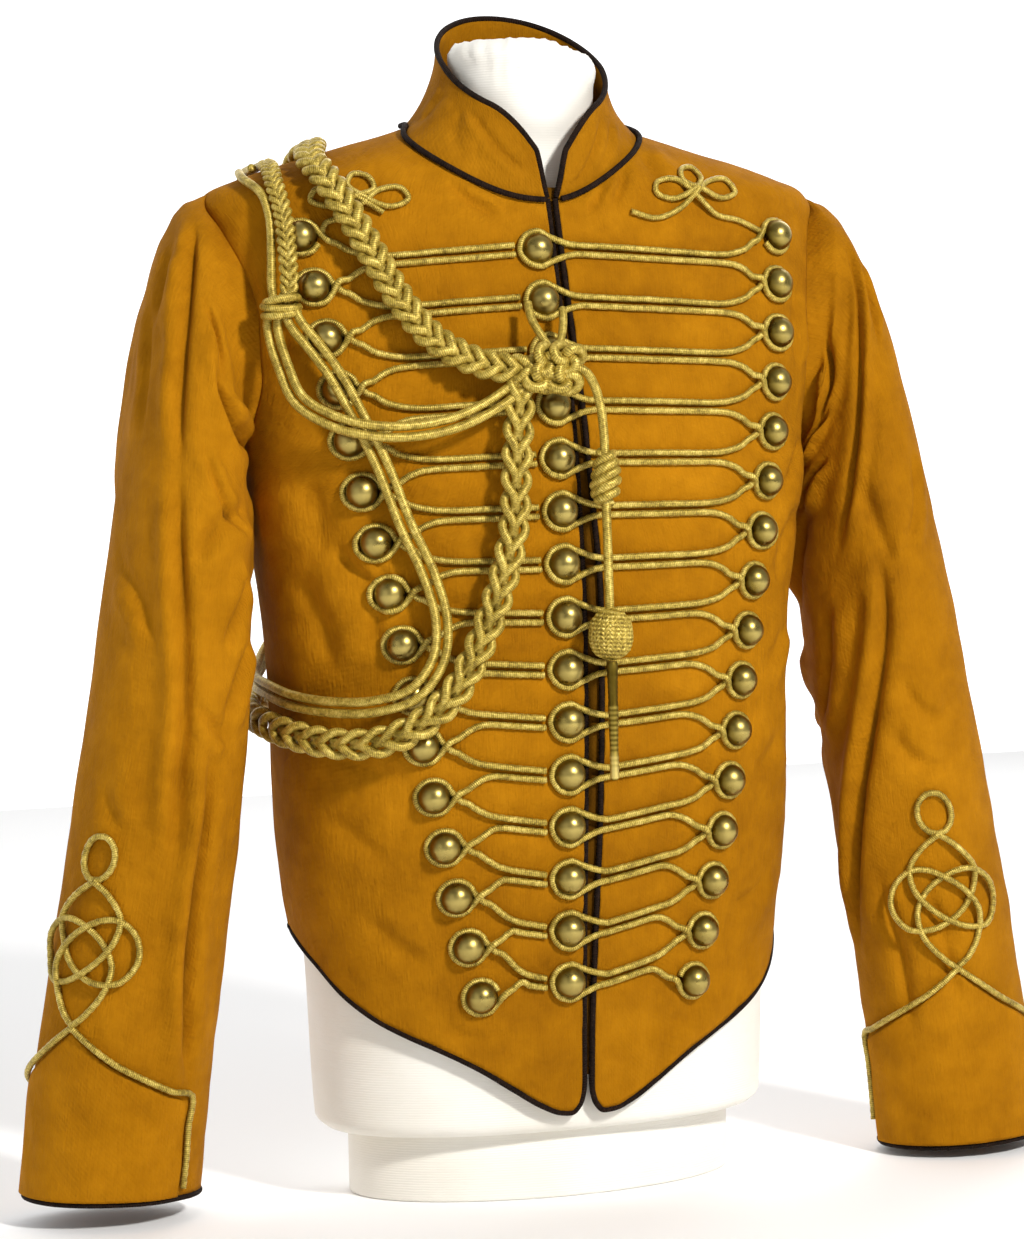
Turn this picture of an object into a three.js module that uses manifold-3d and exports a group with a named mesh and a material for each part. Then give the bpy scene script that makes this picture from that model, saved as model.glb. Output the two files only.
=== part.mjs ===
// A hussar jacket on a limbless dress form. Millimetres, +Z up, the front faces -Y,
// the origin is the middle of the underside of the form's foot.
// "left" and "right" are the wearer's: the left side is +X.

import * as THREE from 'three';
import Module from 'manifold-3d';

const wasm = await Module();
wasm.setup();
const { Manifold, Mesh: ManifoldMesh } = wasm;

const GAP = 0.3;
const CLOTH = 1.8;
const DEG = Math.PI / 180;

// ---------------------------------------------------------------- materials

const ochreCloth = new THREE.MeshStandardMaterial({ name: 'ochre_cloth', color: 0xb97a16, roughness: 0.9 });
const blackPiping = new THREE.MeshStandardMaterial({ name: 'black_piping', color: 0x1d120c, roughness: 0.7 });
const goldCord = new THREE.MeshStandardMaterial({
  name: 'gold_cord', color: 0xc9a95a, roughness: 0.45, metalness: 0.55,
});
const agedBrass = new THREE.MeshStandardMaterial({
  name: 'aged_brass', color: 0x8f7a3c, roughness: 0.35, metalness: 0.95,
});
const formWhite = new THREE.MeshStandardMaterial({ name: 'form_white', color: 0xe9e6df, roughness: 0.6 });

const jacket = new THREE.Group();

function add(name, geometry, material) {
  const mesh = new THREE.Mesh(geometry, material);
  mesh.name = name;
  jacket.add(mesh);
}

// ------------------------------------------------------------------- tables

// A monotone cubic through one column of a table, read at a value of another.
function read(table, key, column, at) {
  const last = table.length - 1;
  const x = THREE.MathUtils.clamp(at, table[0][key], table[last][key]);
  let i = 0;
  while (i < last - 1 && table[i + 1][key] <= x) i += 1;
  const slope = (k) => (table[k + 1][column] - table[k][column]) / (table[k + 1][key] - table[k][key]);
  const bend = (k) => {
    if (k === 0) return slope(0);
    if (k === last) return slope(last - 1);
    const before = slope(k - 1);
    const after = slope(k);
    return before * after <= 0 ? 0 : (2 * before * after) / (before + after);
  };
  const width = table[i + 1][key] - table[i][key];
  const t = (x - table[i][key]) / width;
  const rise = t * t * (3 - 2 * t);
  const start = t * (1 - t) * (1 - t) * width * bend(i);
  const end = t * t * (t - 1) * width * bend(i + 1);
  return table[i][column] * (1 - rise) + table[i + 1][column] * rise + start + end;
}

// Level sections of the jacket's body. front and back are depths from middle, full is
// the exponent of the section, 2 for an ellipse and more for a squarer one.
const bodySections = [
  { z: 45, half: 158, front: 97, back: 92, middle: -12, full: 2.3 },
  { z: 75, half: 162, front: 100, back: 94, middle: -12, full: 2.3 },
  { z: 137, half: 165, front: 103, back: 97, middle: -12, full: 2.3 },
  { z: 172, half: 168, front: 105, back: 99, middle: -12, full: 2.3 },
  { z: 201, half: 173, front: 107, back: 99, middle: -12, full: 2.3 },
  { z: 262, half: 178, front: 111, back: 98, middle: -12, full: 2.3 },
  { z: 330, half: 179, front: 113, back: 95, middle: -12, full: 2.3 },
  { z: 380, half: 182, front: 113, back: 95, middle: -12, full: 2.3 },
  { z: 446, half: 190, front: 111, back: 99, middle: -11, full: 2.35 },
  { z: 504, half: 196, front: 107, back: 106, middle: -10, full: 2.4 },
  { z: 545, half: 203, front: 100, back: 109, middle: -8, full: 2.5 },
  { z: 573, half: 208, front: 95, back: 109, middle: -6, full: 2.5 },
  { z: 606, half: 211, front: 88, back: 106, middle: -4, full: 2.4 },
  { z: 640, half: 214, front: 82, back: 100, middle: -1, full: 2.2 },
  { z: 653, half: 217, front: 79, back: 96, middle: 0, full: 2.15 },
  { z: 664, half: 211, front: 76, back: 92, middle: 0, full: 2.1 },
  { z: 674, half: 188, front: 72, back: 87, middle: 0, full: 2.05 },
  { z: 684, half: 157, front: 67, back: 82, middle: 0, full: 2 },
  { z: 694, half: 122, front: 60, back: 77, middle: 0, full: 2 },
  { z: 708, half: 74, front: 50, back: 70, middle: 0, full: 2 },
  { z: 724, half: 40, front: 35, back: 60, middle: 0, full: 2 },
];

// A point of the body at a direction round it, 0 at the centre front and 90 degrees at the
// wearer's left, and a height.
function bodyPoint(around, z) {
  const half = read(bodySections, 'z', 'half', z);
  const middle = read(bodySections, 'z', 'middle', z);
  const full = read(bodySections, 'z', 'full', z);
  const side = Math.sin(around);
  const ahead = Math.cos(around);
  const depth = read(bodySections, 'z', ahead > 0 ? 'front' : 'back', z);
  const sum = Math.abs(side / half) ** full + Math.abs(ahead / depth) ** full;
  const reach = sum ** (-1 / full);
  return new THREE.Vector3(reach * side, middle - reach * ahead, z);
}

function bodyNormal(around, z) {
  const turn = bodyPoint(around + 0.004, z).sub(bodyPoint(around - 0.004, z));
  const climb = bodyPoint(around, Math.min(z + 0.6, 724)).sub(bodyPoint(around, z - 0.6));
  return turn.cross(climb).normalize();
}

// The same body at a distance x from the middle plane, on its front.
function frontAngle(x, z) {
  let low = -1.6;
  let high = 1.6;
  for (let step = 0; step < 30; step += 1) {
    const guess = (low + high) / 2;
    if (bodyPoint(guess, z).x < x) low = guess;
    else high = guess;
  }
  return (low + high) / 2;
}

function frontSpot(x, z, lift) {
  const around = frontAngle(x, z);
  const normal = bodyNormal(around, z);
  return { point: bodyPoint(around, z).addScaledVector(normal, lift), normal };
}

// ----------------------------------------------------------- closed geometry

function closed(points, faces) {
  const geometry = new THREE.BufferGeometry();
  const flat = points.flatMap((p) => [p.x, p.y, p.z]);
  geometry.setAttribute('position', new THREE.Float32BufferAttribute(flat, 3));
  geometry.setIndex(faces);
  let volume = 0;
  for (let i = 0; i < faces.length; i += 3) {
    const [a, b, c] = [points[faces[i]], points[faces[i + 1]], points[faces[i + 2]]];
    volume += a.dot(new THREE.Vector3().crossVectors(b, c));
  }
  if (volume < 0) {
    const turned = [];
    for (let i = 0; i < faces.length; i += 3) turned.push(faces[i], faces[i + 2], faces[i + 1]);
    geometry.setIndex(turned);
  }
  geometry.computeVertexNormals();
  return geometry;
}

// A wall through rows of spots, each a point of its outer face and the outward normal.
function wall(rows, thickness, round = false) {
  const wide = rows[0].length;
  const tall = rows.length;
  const outer = rows.flat().map((spot) => spot.point.clone());
  const inner = rows.flat().map((spot) => spot.point.clone().addScaledVector(spot.normal, -thickness));
  const points = outer.concat(inner);
  const under = outer.length;
  const faces = [];
  const quad = (a, b, c, d) => faces.push(a, b, c, a, c, d);
  const steps = round ? wide : wide - 1;
  for (let r = 0; r < tall - 1; r += 1) {
    for (let s = 0; s < steps; s += 1) {
      const t = (s + 1) % wide;
      const [a, b, c, d] = [r * wide + s, r * wide + t, (r + 1) * wide + t, (r + 1) * wide + s];
      quad(a, b, c, d);
      quad(under + a, under + d, under + c, under + b);
    }
  }
  for (let s = 0; s < steps; s += 1) {
    const t = (s + 1) % wide;
    const top = (tall - 1) * wide;
    quad(s, under + s, under + t, t);
    quad(top + s, top + t, under + top + t, under + top + s);
  }
  if (!round) {
    for (let r = 0; r < tall - 1; r += 1) {
      const [a, b] = [r * wide, (r + 1) * wide];
      const [c, d] = [a + wide - 1, b + wide - 1];
      quad(a, b, under + b, under + a);
      quad(c, under + c, under + d, d);
    }
  }
  return closed(points, faces);
}

// A solid through closed rings of points, with a flat cap at each end.
function loft(rings) {
  const wide = rings[0].length;
  const points = rings.flat();
  const faces = [];
  for (let r = 0; r < rings.length - 1; r += 1) {
    for (let s = 0; s < wide; s += 1) {
      const t = (s + 1) % wide;
      const [a, b, c, d] = [r * wide + s, r * wide + t, (r + 1) * wide + t, (r + 1) * wide + s];
      faces.push(a, b, c, a, c, d);
    }
  }
  const top = (rings.length - 1) * wide;
  for (let s = 1; s < wide - 1; s += 1) {
    faces.push(0, s + 1, s);
    faces.push(top, top + s, top + s + 1);
  }
  return closed(points, faces);
}

// Rings of a section carried along spots. Each corner of it is across and up.
function carry(spots, corners, round = false) {
  const count = spots.length;
  return spots.map((spot, i) => {
    const before = spots[round ? (i + count - 1) % count : Math.max(i - 1, 0)].point;
    const after = spots[round ? (i + 1) % count : Math.min(i + 1, count - 1)].point;
    const along = after.clone().sub(before).normalize();
    const across = along.clone().cross(spot.normal).normalize();
    const up = across.clone().cross(along).normalize();
    return corners.map(([u, v]) => (
      spot.point.clone().addScaledVector(across, u).addScaledVector(up, v)));
  });
}

function roundSection(radius, sides) {
  return Array.from({ length: sides }, (_, i) => {
    const angle = ((i + 0.5) / sides) * 2 * Math.PI;
    return [radius * Math.cos(angle), radius * Math.sin(angle)];
  });
}

// A cord that is round, along spots whose normals only settle how it is turned.
function cord(spots, radius, sides = 6) {
  return loft(carry(spots, roundSection(radius, sides)));
}

// A ring of cord with no ends.
function hoop(spots, corners) {
  const rings = carry(spots, corners, true);
  const wide = corners.length;
  const faces = [];
  rings.forEach((ring, r) => {
    const next = ((r + 1) % rings.length) * wide;
    for (let s = 0; s < wide; s += 1) {
      const t = (s + 1) % wide;
      const [a, b, c, d] = [r * wide + s, r * wide + t, next + t, next + s];
      faces.push(a, b, c, a, c, d);
    }
  });
  return closed(rings.flat(), faces);
}

// Spots along a smooth curve through key spots.
function smooth(keys, steps, round = false) {
  const points = new THREE.CatmullRomCurve3(keys.map((k) => k.point), round, 'centripetal');
  const count = round ? steps : steps + 1;
  return Array.from({ length: count }, (_, i) => {
    const t = i / steps;
    const place = t * (round ? keys.length : keys.length - 1);
    const low = Math.min(Math.floor(place), keys.length - 1);
    const high = round ? (low + 1) % keys.length : Math.min(low + 1, keys.length - 1);
    const normal = keys[low].normal.clone().lerp(keys[high].normal, place - low).normalize();
    return { point: points.getPoint(t), normal };
  });
}

function toManifold(geometry) {
  const mesh = new ManifoldMesh({
    numProp: 3,
    vertProperties: Float32Array.from(geometry.getAttribute('position').array),
    triVerts: Uint32Array.from(geometry.getIndex().array),
  });
  return new Manifold(mesh);
}

function join(geometries) {
  const mesh = Manifold.union(geometries.map(toManifold)).simplify(0.06).getMesh();
  const points = [];
  for (let i = 0; i < mesh.vertProperties.length; i += mesh.numProp) {
    points.push(new THREE.Vector3(...mesh.vertProperties.slice(i, i + 3)));
  }
  return closed(points, Array.from(mesh.triVerts));
}

// ------------------------------------------------------------- body panels

const NECK_FRONT = 654;
const NECK_SIDE = 708;
const NECK_BACK = 724;
const SIDE_SEAM = 95 * DEG;
const ARMPIT = 490;
const SHOULDER = 664;
const ARM_STEPS = 8;

// The hem of a front, by degrees from its centre edge: a rounded tip, then up to the side.
const frontHem = [
  { from: 0, z: 74 },
  { from: 1.6, z: 66 },
  { from: 4.5, z: 61.5 },
  { from: 8, z: 62 },
  { from: 15, z: 67 },
  { from: 25, z: 79 },
  { from: 36, z: 94 },
  { from: 47, z: 107.5 },
  { from: 54, z: 115.5 },
  { from: 62, z: 126 },
  { from: 70, z: 140 },
  { from: 80, z: 161 },
  { from: 95, z: 180 },
];

// Where each front's centre edge stands. They part a little over the middle.
const centreEdges = [
  { z: 60, right: -6.6, left: 2.1 },
  { z: 107, right: -6.2, left: 2.6 },
  { z: 166, right: -5.9, left: 4.8 },
  { z: 260, right: -5, left: 8.6 },
  { z: 400, right: -3.6, left: 11.4 },
  { z: 450, right: -4, left: 9 },
  { z: 504, right: -4.6, left: 6.4 },
  { z: 640, right: -4.9, left: 3.8 },
  { z: 660, right: -4.6, left: 4.1 },
];

// How far the armhole swings forward and back of the middle plane.
const armhole = [
  { z: 490, front: 5, back: 5 },
  { z: 497, front: -13, back: 26 },
  { z: 515, front: -37, back: 45 },
  { z: 543, front: -51, back: 55 },
  { z: 576, front: -52, back: 57 },
  { z: 608, front: -42, back: 49 },
  { z: 636, front: -24, back: 31 },
  { z: 655, front: -9, back: 13 },
  { z: 664, front: 0, back: 0 },
];

const neckHeight = (around) => {
  if (Math.cos(around) > 0) return NECK_FRONT + (NECK_SIDE - NECK_FRONT) * Math.sin(around) ** 2;
  return NECK_SIDE + (NECK_BACK - NECK_SIDE) * Math.cos(around) ** 2;
};

function hemHeight(around) {
  if (around > SIDE_SEAM) return 180 + 4 * Math.sin(around - SIDE_SEAM);
  return read(frontHem, 'from', 'z', around / DEG);
}

// The heights of a panel's rows along its side seam, its armhole and its shoulder seam.
const sideRows = [180, 232, 284, 334, 382, 425, 461];
const armRows = Array.from({ length: ARM_STEPS + 1 }, (_, i) => {
  const swing = (1 - Math.cos((Math.PI * i) / ARM_STEPS)) / 2;
  return ARMPIT + (SHOULDER - ARMPIT) * swing;
});
const shoulderRows = [674, 684, 695, 708];
const edgeRows = [...sideRows, ...armRows, ...shoulderRows];

// The direction round the body of a panel's side edge at a row.
function edgeAngle(z, face) {
  const toward = face === 'front' ? -1 : 1;
  let around = SIDE_SEAM;
  if (z > SHOULDER + 0.1) around = 90 * DEG;
  else if (z >= ARMPIT - 0.1) {
    const y = read(armhole, 'z', face, z);
    const half = read(bodySections, 'z', 'half', z);
    const middle = read(bodySections, 'z', 'middle', z);
    const full = read(bodySections, 'z', 'full', z);
    const depth = read(bodySections, 'z', y < middle ? 'front' : 'back', z);
    const x = half * (1 - Math.abs((y - middle) / depth) ** full) ** (1 / full);
    around = Math.atan2(x, middle - y);
  }
  return around + (toward * GAP * 0.7) / 100;
}

// A row keeps its share of the way from hem to neck, so the rows follow both.
function rowShare(z, face) {
  const around = edgeAngle(z, face);
  const hem = z < 181 ? z : hemHeight(around);
  return THREE.MathUtils.clamp((z - hem) / (neckHeight(around) - hem), 0, 1);
}

function panelSpot(around, share, mirror, fromEdge) {
  const hem = hemHeight(fromEdge);
  const z = hem + (neckHeight(around) - hem) * share;
  const turned = around * mirror;
  return { point: bodyPoint(turned, z), normal: bodyNormal(turned, z), z };
}

const frontColumns = [0, 0.04, 0.12, 0.23, 0.35, 0.47, 0.59, 0.7, 0.8, 0.9, 1];

function frontRows(side) {
  const mirror = side === 'left' ? 1 : -1;
  return edgeRows.map((edge, r) => {
    const share = r === 0 ? 0 : r === edgeRows.length - 1 ? 1 : rowShare(edge, 'front');
    const centreZ = hemHeight(0) + (NECK_FRONT - hemHeight(0)) * share;
    const start = frontAngle(read(centreEdges, 'z', side, centreZ), centreZ) * mirror;
    const end = edgeAngle(edge, 'front');
    return frontColumns.map((s) => {
      const around = start + (end - start) * s;
      return panelSpot(around, share, mirror, around - start * (1 - s));
    });
  });
}

const BACK_COLUMNS = 12;

function backRows() {
  return edgeRows.map((edge, r) => {
    const share = r === 0 ? 0 : r === edgeRows.length - 1 ? 1 : rowShare(edge, 'back');
    const start = edgeAngle(edge, 'back');
    return Array.from({ length: BACK_COLUMNS + 1 }, (_, i) => {
      const around = start + (2 * Math.PI - 2 * start) * (i / BACK_COLUMNS);
      return panelSpot(around, share, 1, Math.min(around, 2 * Math.PI - around));
    });
  });
}

const fronts = { left: frontRows('left'), right: frontRows('right') };
const back = backRows();

add('front_right', wall(fronts.right, CLOTH), ochreCloth);
add('front_left', wall(fronts.left, CLOTH), ochreCloth);
add('back', wall(back, CLOTH), ochreCloth);

// The strip that closes the opening from behind.
const UNDERLAP_HALF = 17;
const underlapRows = [84, 150, 220, 290, 360, 420, 480, 530, 580, 615, 645].map((z) => (
  [-1, 0, 1].map((s) => frontSpot(3 + s * UNDERLAP_HALF, z, -CLOTH - 1.1))));
add('underlap', wall(underlapRows, 1.4), ochreCloth);

// ------------------------------------------------------------------- sleeves

// Rings of a sleeve from the shoulder down: the ends of its width, outer and inner, the
// middle's place front to back and half its depth.
const sleeveRings = [
  { ring: 0, outX: 211.5, outZ: 664, inX: 196.5, inZ: 490, y: 3, depth: 54 },
  { ring: 1, outX: 226, outZ: 657, inX: 197.5, inZ: 484, y: 1, depth: 59 },
  { ring: 2, outX: 241, outZ: 636, inX: 199, inZ: 473, y: -3, depth: 63 },
  { ring: 3, outX: 257, outZ: 592, inX: 199, inZ: 452, y: -11, depth: 66 },
  { ring: 4, outX: 271, outZ: 524, inX: 199, inZ: 417, y: -19, depth: 67 },
  { ring: 5, outX: 283, outZ: 455, inX: 200, inZ: 381, y: -26, depth: 66 },
  { ring: 6, outX: 296, outZ: 385, inX: 202, inZ: 338, y: -30, depth: 64 },
  { ring: 7, outX: 308, outZ: 314, inX: 207, inZ: 288, y: -33, depth: 59 },
  { ring: 8, outX: 321, outZ: 244, inX: 213, inZ: 230, y: -32, depth: 55 },
  { ring: 9, outX: 333, outZ: 180, inX: 221, inZ: 171, y: -31, depth: 51 },
  { ring: 10, outX: 342, outZ: 124, inX: 228, inZ: 118, y: -29, depth: 49 },
  { ring: 11, outX: 350, outZ: 70, inX: 234, inZ: 66, y: -27, depth: 47 },
  { ring: 12, outX: 356, outZ: 17, inX: 239, inZ: 13, y: -25, depth: 46 },
];

// The arms hang a little unlike: how far each is swung forward and dropped at its end,
// and how far its face is turned to the front.
const arms = {
  right: { mirror: -1, swing: 12, drop: 4, face: 40 },
  left: { mirror: 1, swing: -26, drop: -4, face: 100 },
};

// The long folds of a sleeve, by degrees round it from its outer side to the front.
const sleeveFolds = [
  { arm: 'right', at: 67.5, from: 3, to: 9, wide: 13, deep: 5 },
  { arm: 'right', at: 112.5, from: 8, to: 11, wide: 12, deep: 4 },
  { arm: 'left', at: 112.5, from: 3, to: 7, wide: 12, deep: 5 },
  { arm: 'left', at: 157.5, from: 6.5, to: 9, wide: 13, deep: 6 },
  { arm: 'right', at: 180, from: 3, to: 6, wide: 14, deep: 4 },
];

const SLEEVE_SIDES = 2 * ARM_STEPS;

function foldDepth(arm, degrees, ring) {
  return sleeveFolds.filter((fold) => fold.arm === arm).reduce((sum, fold) => {
    const along = THREE.MathUtils.smoothstep(ring, fold.from - 1, fold.from + 0.5)
      * (1 - THREE.MathUtils.smoothstep(ring, fold.to - 0.5, fold.to + 1));
    const off = (degrees - fold.at) / fold.wide;
    return sum + fold.deep * along * Math.exp(-off * off);
  }, 0);
}

function sleevePoint(arm, around, ring, lift = 0) {
  const { mirror, swing, drop } = arms[arm];
  const at = (column) => read(sleeveRings, 'ring', column, ring);
  const middle = new THREE.Vector3((at('outX') + at('inX')) / 2, at('y'), (at('outZ') + at('inZ')) / 2);
  const reach = new THREE.Vector3(at('outX') - at('inX'), 0, at('outZ') - at('inZ')).multiplyScalar(0.5);
  const hang = THREE.MathUtils.clamp((ring - 2.5) / 9.5, 0, 1);
  const size = reach.length();
  const out = lift - foldDepth(arm, around / DEG, ring);
  const point = middle.addScaledVector(reach, (Math.cos(around) * (size + out)) / size);
  point.y += swing * hang - Math.sin(around) * (at('depth') + out);
  point.z += drop * hang;
  point.x *= mirror;
  return point;
}

function sleeveNormal(arm, around, ring) {
  const turn = sleevePoint(arm, around + 0.02, ring).sub(sleevePoint(arm, around - 0.02, ring));
  const drop = sleevePoint(arm, around, Math.min(ring + 0.05, 12))
    .sub(sleevePoint(arm, around, Math.max(ring - 0.05, 0)));
  return turn.cross(drop).normalize().multiplyScalar(arms[arm].mirror);
}

// The first ring of a sleeve: the armhole's own points, a seam's gap away.
function armholeRing(arm) {
  const { mirror } = arms[arm];
  const lowest = sideRows.length;
  const highest = lowest + ARM_STEPS;
  const frontEdge = fronts[arm].map((row) => row[row.length - 1].point);
  const backEdge = back.map((row) => (arm === 'left' ? row[0] : row[row.length - 1]).point);
  return Array.from({ length: SLEEVE_SIDES }, (_, i) => {
    const down = i <= ARM_STEPS ? i : SLEEVE_SIDES - i;
    const edge = i <= ARM_STEPS ? frontEdge : backEdge;
    const point = edge[highest - down].clone();
    point.x += mirror * (down === ARM_STEPS ? 0.9 : 0.6);
    return point;
  });
}

function sleeveRows(arm) {
  const first = armholeRing(arm);
  return sleeveRings.map(({ ring }) => Array.from({ length: SLEEVE_SIDES }, (_, i) => {
    const around = (2 * Math.PI * i) / SLEEVE_SIDES;
    const point = ring === 0 ? first[i] : sleevePoint(arm, around, ring);
    return { point, normal: sleeveNormal(arm, around, Math.max(ring, 0.3)) };
  }));
}

const sleeves = { left: sleeveRows('left'), right: sleeveRows('right') };
add('sleeve_right', wall(sleeves.right, CLOTH, true), ochreCloth);
add('sleeve_left', wall(sleeves.left, CLOTH, true), ochreCloth);

// ------------------------------------------------------------ cuffs and knots

const PEAK = 133;
const CUFF_TURN = 84;
const RIM_TURN = 88.5;

// The cuff's upper edge falls from a point on the sleeve's face, by degrees from it.
const cuffEdge = [
  { turn: 0, fall: 0 },
  { turn: 15, fall: 12 },
  { turn: 32, fall: 24 },
  { turn: 50, fall: 34 },
  { turn: 70, fall: 44 },
  { turn: 90, fall: 52 },
];

// One strand of the cuff's knot, from the crossing under its top loop down to the point.
const knotStrand = [
  { turn: 0, rise: 93 },
  { turn: 12, rise: 83 },
  { turn: 22, rise: 69 },
  { turn: 21, rise: 55 },
  { turn: 13, rise: 43 },
  { turn: 2, rise: 34 },
  { turn: -13, rise: 28 },
  { turn: -28, rise: 29 },
  { turn: -37, rise: 42 },
  { turn: -34, rise: 57 },
  { turn: -23, rise: 67 },
  { turn: -11, rise: 68 },
  { turn: 2, rise: 62 },
  { turn: 14, rise: 52 },
  { turn: 21, rise: 39 },
  { turn: 19, rise: 23 },
  { turn: 9, rise: 8 },
  { turn: 0, rise: 0 },
];

// The ring, counted along a sleeve, that passes a height at a direction round it.
function ringAt(arm, around, z) {
  let low = 0;
  let high = 12;
  for (let step = 0; step < 24; step += 1) {
    const guess = (low + high) / 2;
    if (sleevePoint(arm, around, guess).z > z) low = guess;
    else high = guess;
  }
  return (low + high) / 2;
}

function sleeveSpot(arm, turn, z, lift) {
  const around = (arms[arm].face + turn) * DEG;
  const ring = ringAt(arm, around, z);
  const normal = sleeveNormal(arm, around, ring);
  return { point: sleevePoint(arm, around, ring).addScaledVector(normal, lift), normal };
}

const CUFF_LIFT = 2.9;
const cuffTop = (turn) => PEAK - 3.6 - read(cuffEdge, 'turn', 'fall', Math.abs(turn));

function cuffRows(arm) {
  const columns = 12;
  return [0, 1 / 3, 2 / 3, 1].map((share) => Array.from({ length: columns + 1 }, (_, i) => {
    const turn = CUFF_TURN * ((2 * i) / columns - 1);
    const around = (arms[arm].face + turn) * DEG;
    const bottom = sleevePoint(arm, around, 12).z;
    const z = bottom + (cuffTop(turn) - bottom) * share;
    return sleeveSpot(arm, turn, z, CUFF_LIFT);
  }));
}

// Cord sewn flat on cloth: a ridge with a level underside.
const ridge = [[-2.1, -1.9], [2.1, -1.9], [0, 2.2]];
const KNOT_LIFT = 3.4;

function knotSpots(arm, mirrored) {
  const hand = mirrored ? -1 : 1;
  const keys = knotStrand.map(({ turn, rise }) => sleeveSpot(arm, hand * turn, PEAK + rise, KNOT_LIFT));
  return smooth(keys, 20);
}

function knotLoop(arm) {
  const keys = Array.from({ length: 8 }, (_, i) => {
    const angle = ((i + 0.5) / 8) * 2 * Math.PI;
    return sleeveSpot(arm, 12 * Math.sin(angle), PEAK + 107 + 14 * Math.cos(angle), KNOT_LIFT);
  });
  return keys;
}

function cuffCord(arm, hand) {
  const keys = [0, 15, 32, 50, 70].map((turn) => (
    sleeveSpot(arm, hand * turn, PEAK - read(cuffEdge, 'turn', 'fall', turn), KNOT_LIFT)));
  for (const drop of [50, 70, 90, 111]) {
    keys.push(sleeveSpot(arm, hand * RIM_TURN, PEAK - drop, KNOT_LIFT));
  }
  return smooth(keys, 9);
}

for (const arm of ['right', 'left']) {
  add(`cuff_${arm}`, wall(cuffRows(arm), 1.6), ochreCloth);
  const strands = [
    loft(carry(knotSpots(arm, false), ridge)),
    loft(carry(knotSpots(arm, true), ridge)),
    hoop(knotLoop(arm), ridge),
    loft(carry(cuffCord(arm, 1), ridge)),
    loft(carry(cuffCord(arm, -1), ridge)),
  ];
  add(`cuff_knot_${arm}`, join(strands), goldCord);
  const rim = sleeves[arm][12].map(({ point, normal }) => ({
    point: point.clone().addScaledVector(normal, -0.9).add(new THREE.Vector3(0, 0, -2.2)),
    normal,
  }));
  add(`cuff_piping_${arm}`, hoop(rim, roundSection(1.7, 4)), blackPiping);
}

// -------------------------------------------------------------------- collar

const COLLAR_COLUMNS = 20;

function collarSpot(share, rise) {
  const open = (3.3 + 8.7 * rise) * DEG;
  const around = open + (2 * Math.PI - 2 * open) * share;
  const seam = bodyPoint(around, neckHeight(around));
  const base = new THREE.Vector3(seam.x, seam.y, 0).multiplyScalar(1 - 1 / seam.length() - 0.006);
  base.z = seam.z + 0.6;
  const ahead = Math.cos(around);
  const top = new THREE.Vector3(57 * Math.sin(around), -28 - (ahead > 0 ? 52 : 64) * ahead, 745 - 39 * ahead);
  const edge = Math.min(share, 1 - share) * 2 * Math.PI * 66;
  const corner = THREE.MathUtils.clamp(1 - edge / 24, 0, 1);
  top.z -= 17 * corner * corner;
  const draw = 1 - (1 - rise) ** 1.8;
  return new THREE.Vector3(
    base.x + (top.x - base.x) * draw,
    base.y + (top.y - base.y) * draw,
    base.z + (top.z - base.z) * rise,
  );
}

function collarRows() {
  return [0, 0.34, 0.67, 1].map((rise) => Array.from({ length: COLLAR_COLUMNS + 1 }, (_, i) => {
    const share = 0.5 - 0.5 * Math.cos((Math.PI * i) / COLLAR_COLUMNS) * 0.25 - 0.375 * (1 - (2 * i) / COLLAR_COLUMNS);
    const turn = collarSpot(Math.min(share + 0.01, 1), rise).sub(collarSpot(Math.max(share - 0.01, 0), rise));
    const climb = collarSpot(share, Math.min(rise + 0.05, 1)).sub(collarSpot(share, Math.max(rise - 0.05, 0)));
    return { point: collarSpot(share, rise), normal: turn.cross(climb).normalize() };
  }));
}

const collar = collarRows();
add('collar', wall(collar, 2.4), ochreCloth);

// -------------------------------------------------------------------- piping

const PIPE = 1.8;
const pipeSection = roundSection(PIPE, 4);

// Spots a step beyond the edge of a wall, level with the middle of its thickness. The edge
// runs with the wall on its left when hand is 1.
function beyond(edge, thickness, hand) {
  const away = (i) => {
    const along = edge[i + 1].point.clone().sub(edge[i].point);
    return along.cross(edge[i].normal).normalize().multiplyScalar(hand);
  };
  return edge.map((spot, i) => {
    const before = away(Math.max(i - 1, 0));
    const mitre = before.clone().add(away(Math.min(i, edge.length - 2))).normalize();
    const step = OUT / Math.max(mitre.dot(before), 0.6);
    const point = spot.point.clone().addScaledVector(spot.normal, -thickness / 2);
    return { point: point.addScaledVector(mitre, step), normal: spot.normal };
  });
}

// The same run with its two ends drawn in a little, clear of the next one.
function drawnIn(run, length) {
  const ends = [[0, 1], [run.length - 1, run.length - 2]];
  for (const [end, next] of ends) {
    const step = run[next].point.clone().sub(run[end].point).setLength(length);
    run[end].point.add(step);
  }
  return run;
}

const column = (rows, i) => rows.map((row) => row[i]);
const OUT = PIPE + GAP + 0.2;

// Up the collar's front edges and round its top.
const collarEdge = [
  ...column(collar, 0), ...collar[3].slice(1, -1), ...column(collar, COLLAR_COLUMNS).reverse(),
];
const collarRun = beyond(collarEdge, 2.4, -1);
add('collar_piping', loft(carry(collarRun, pipeSection)), blackPiping);

// Round the foot of the collar, in the angle between it and the body.
const footRun = Array.from({ length: 25 }, (_, i) => {
  const around = 5 * DEG + (350 * DEG * i) / 24;
  const z = neckHeight(around);
  const normal = bodyNormal(around, z);
  const level = new THREE.Vector3(normal.x, normal.y, 0).normalize();
  const point = bodyPoint(around, z).addScaledVector(normal, 2.7).addScaledVector(level, 1.2);
  return { point, normal };
});
add('neck_piping', loft(carry(footRun, pipeSection)), blackPiping);

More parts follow.
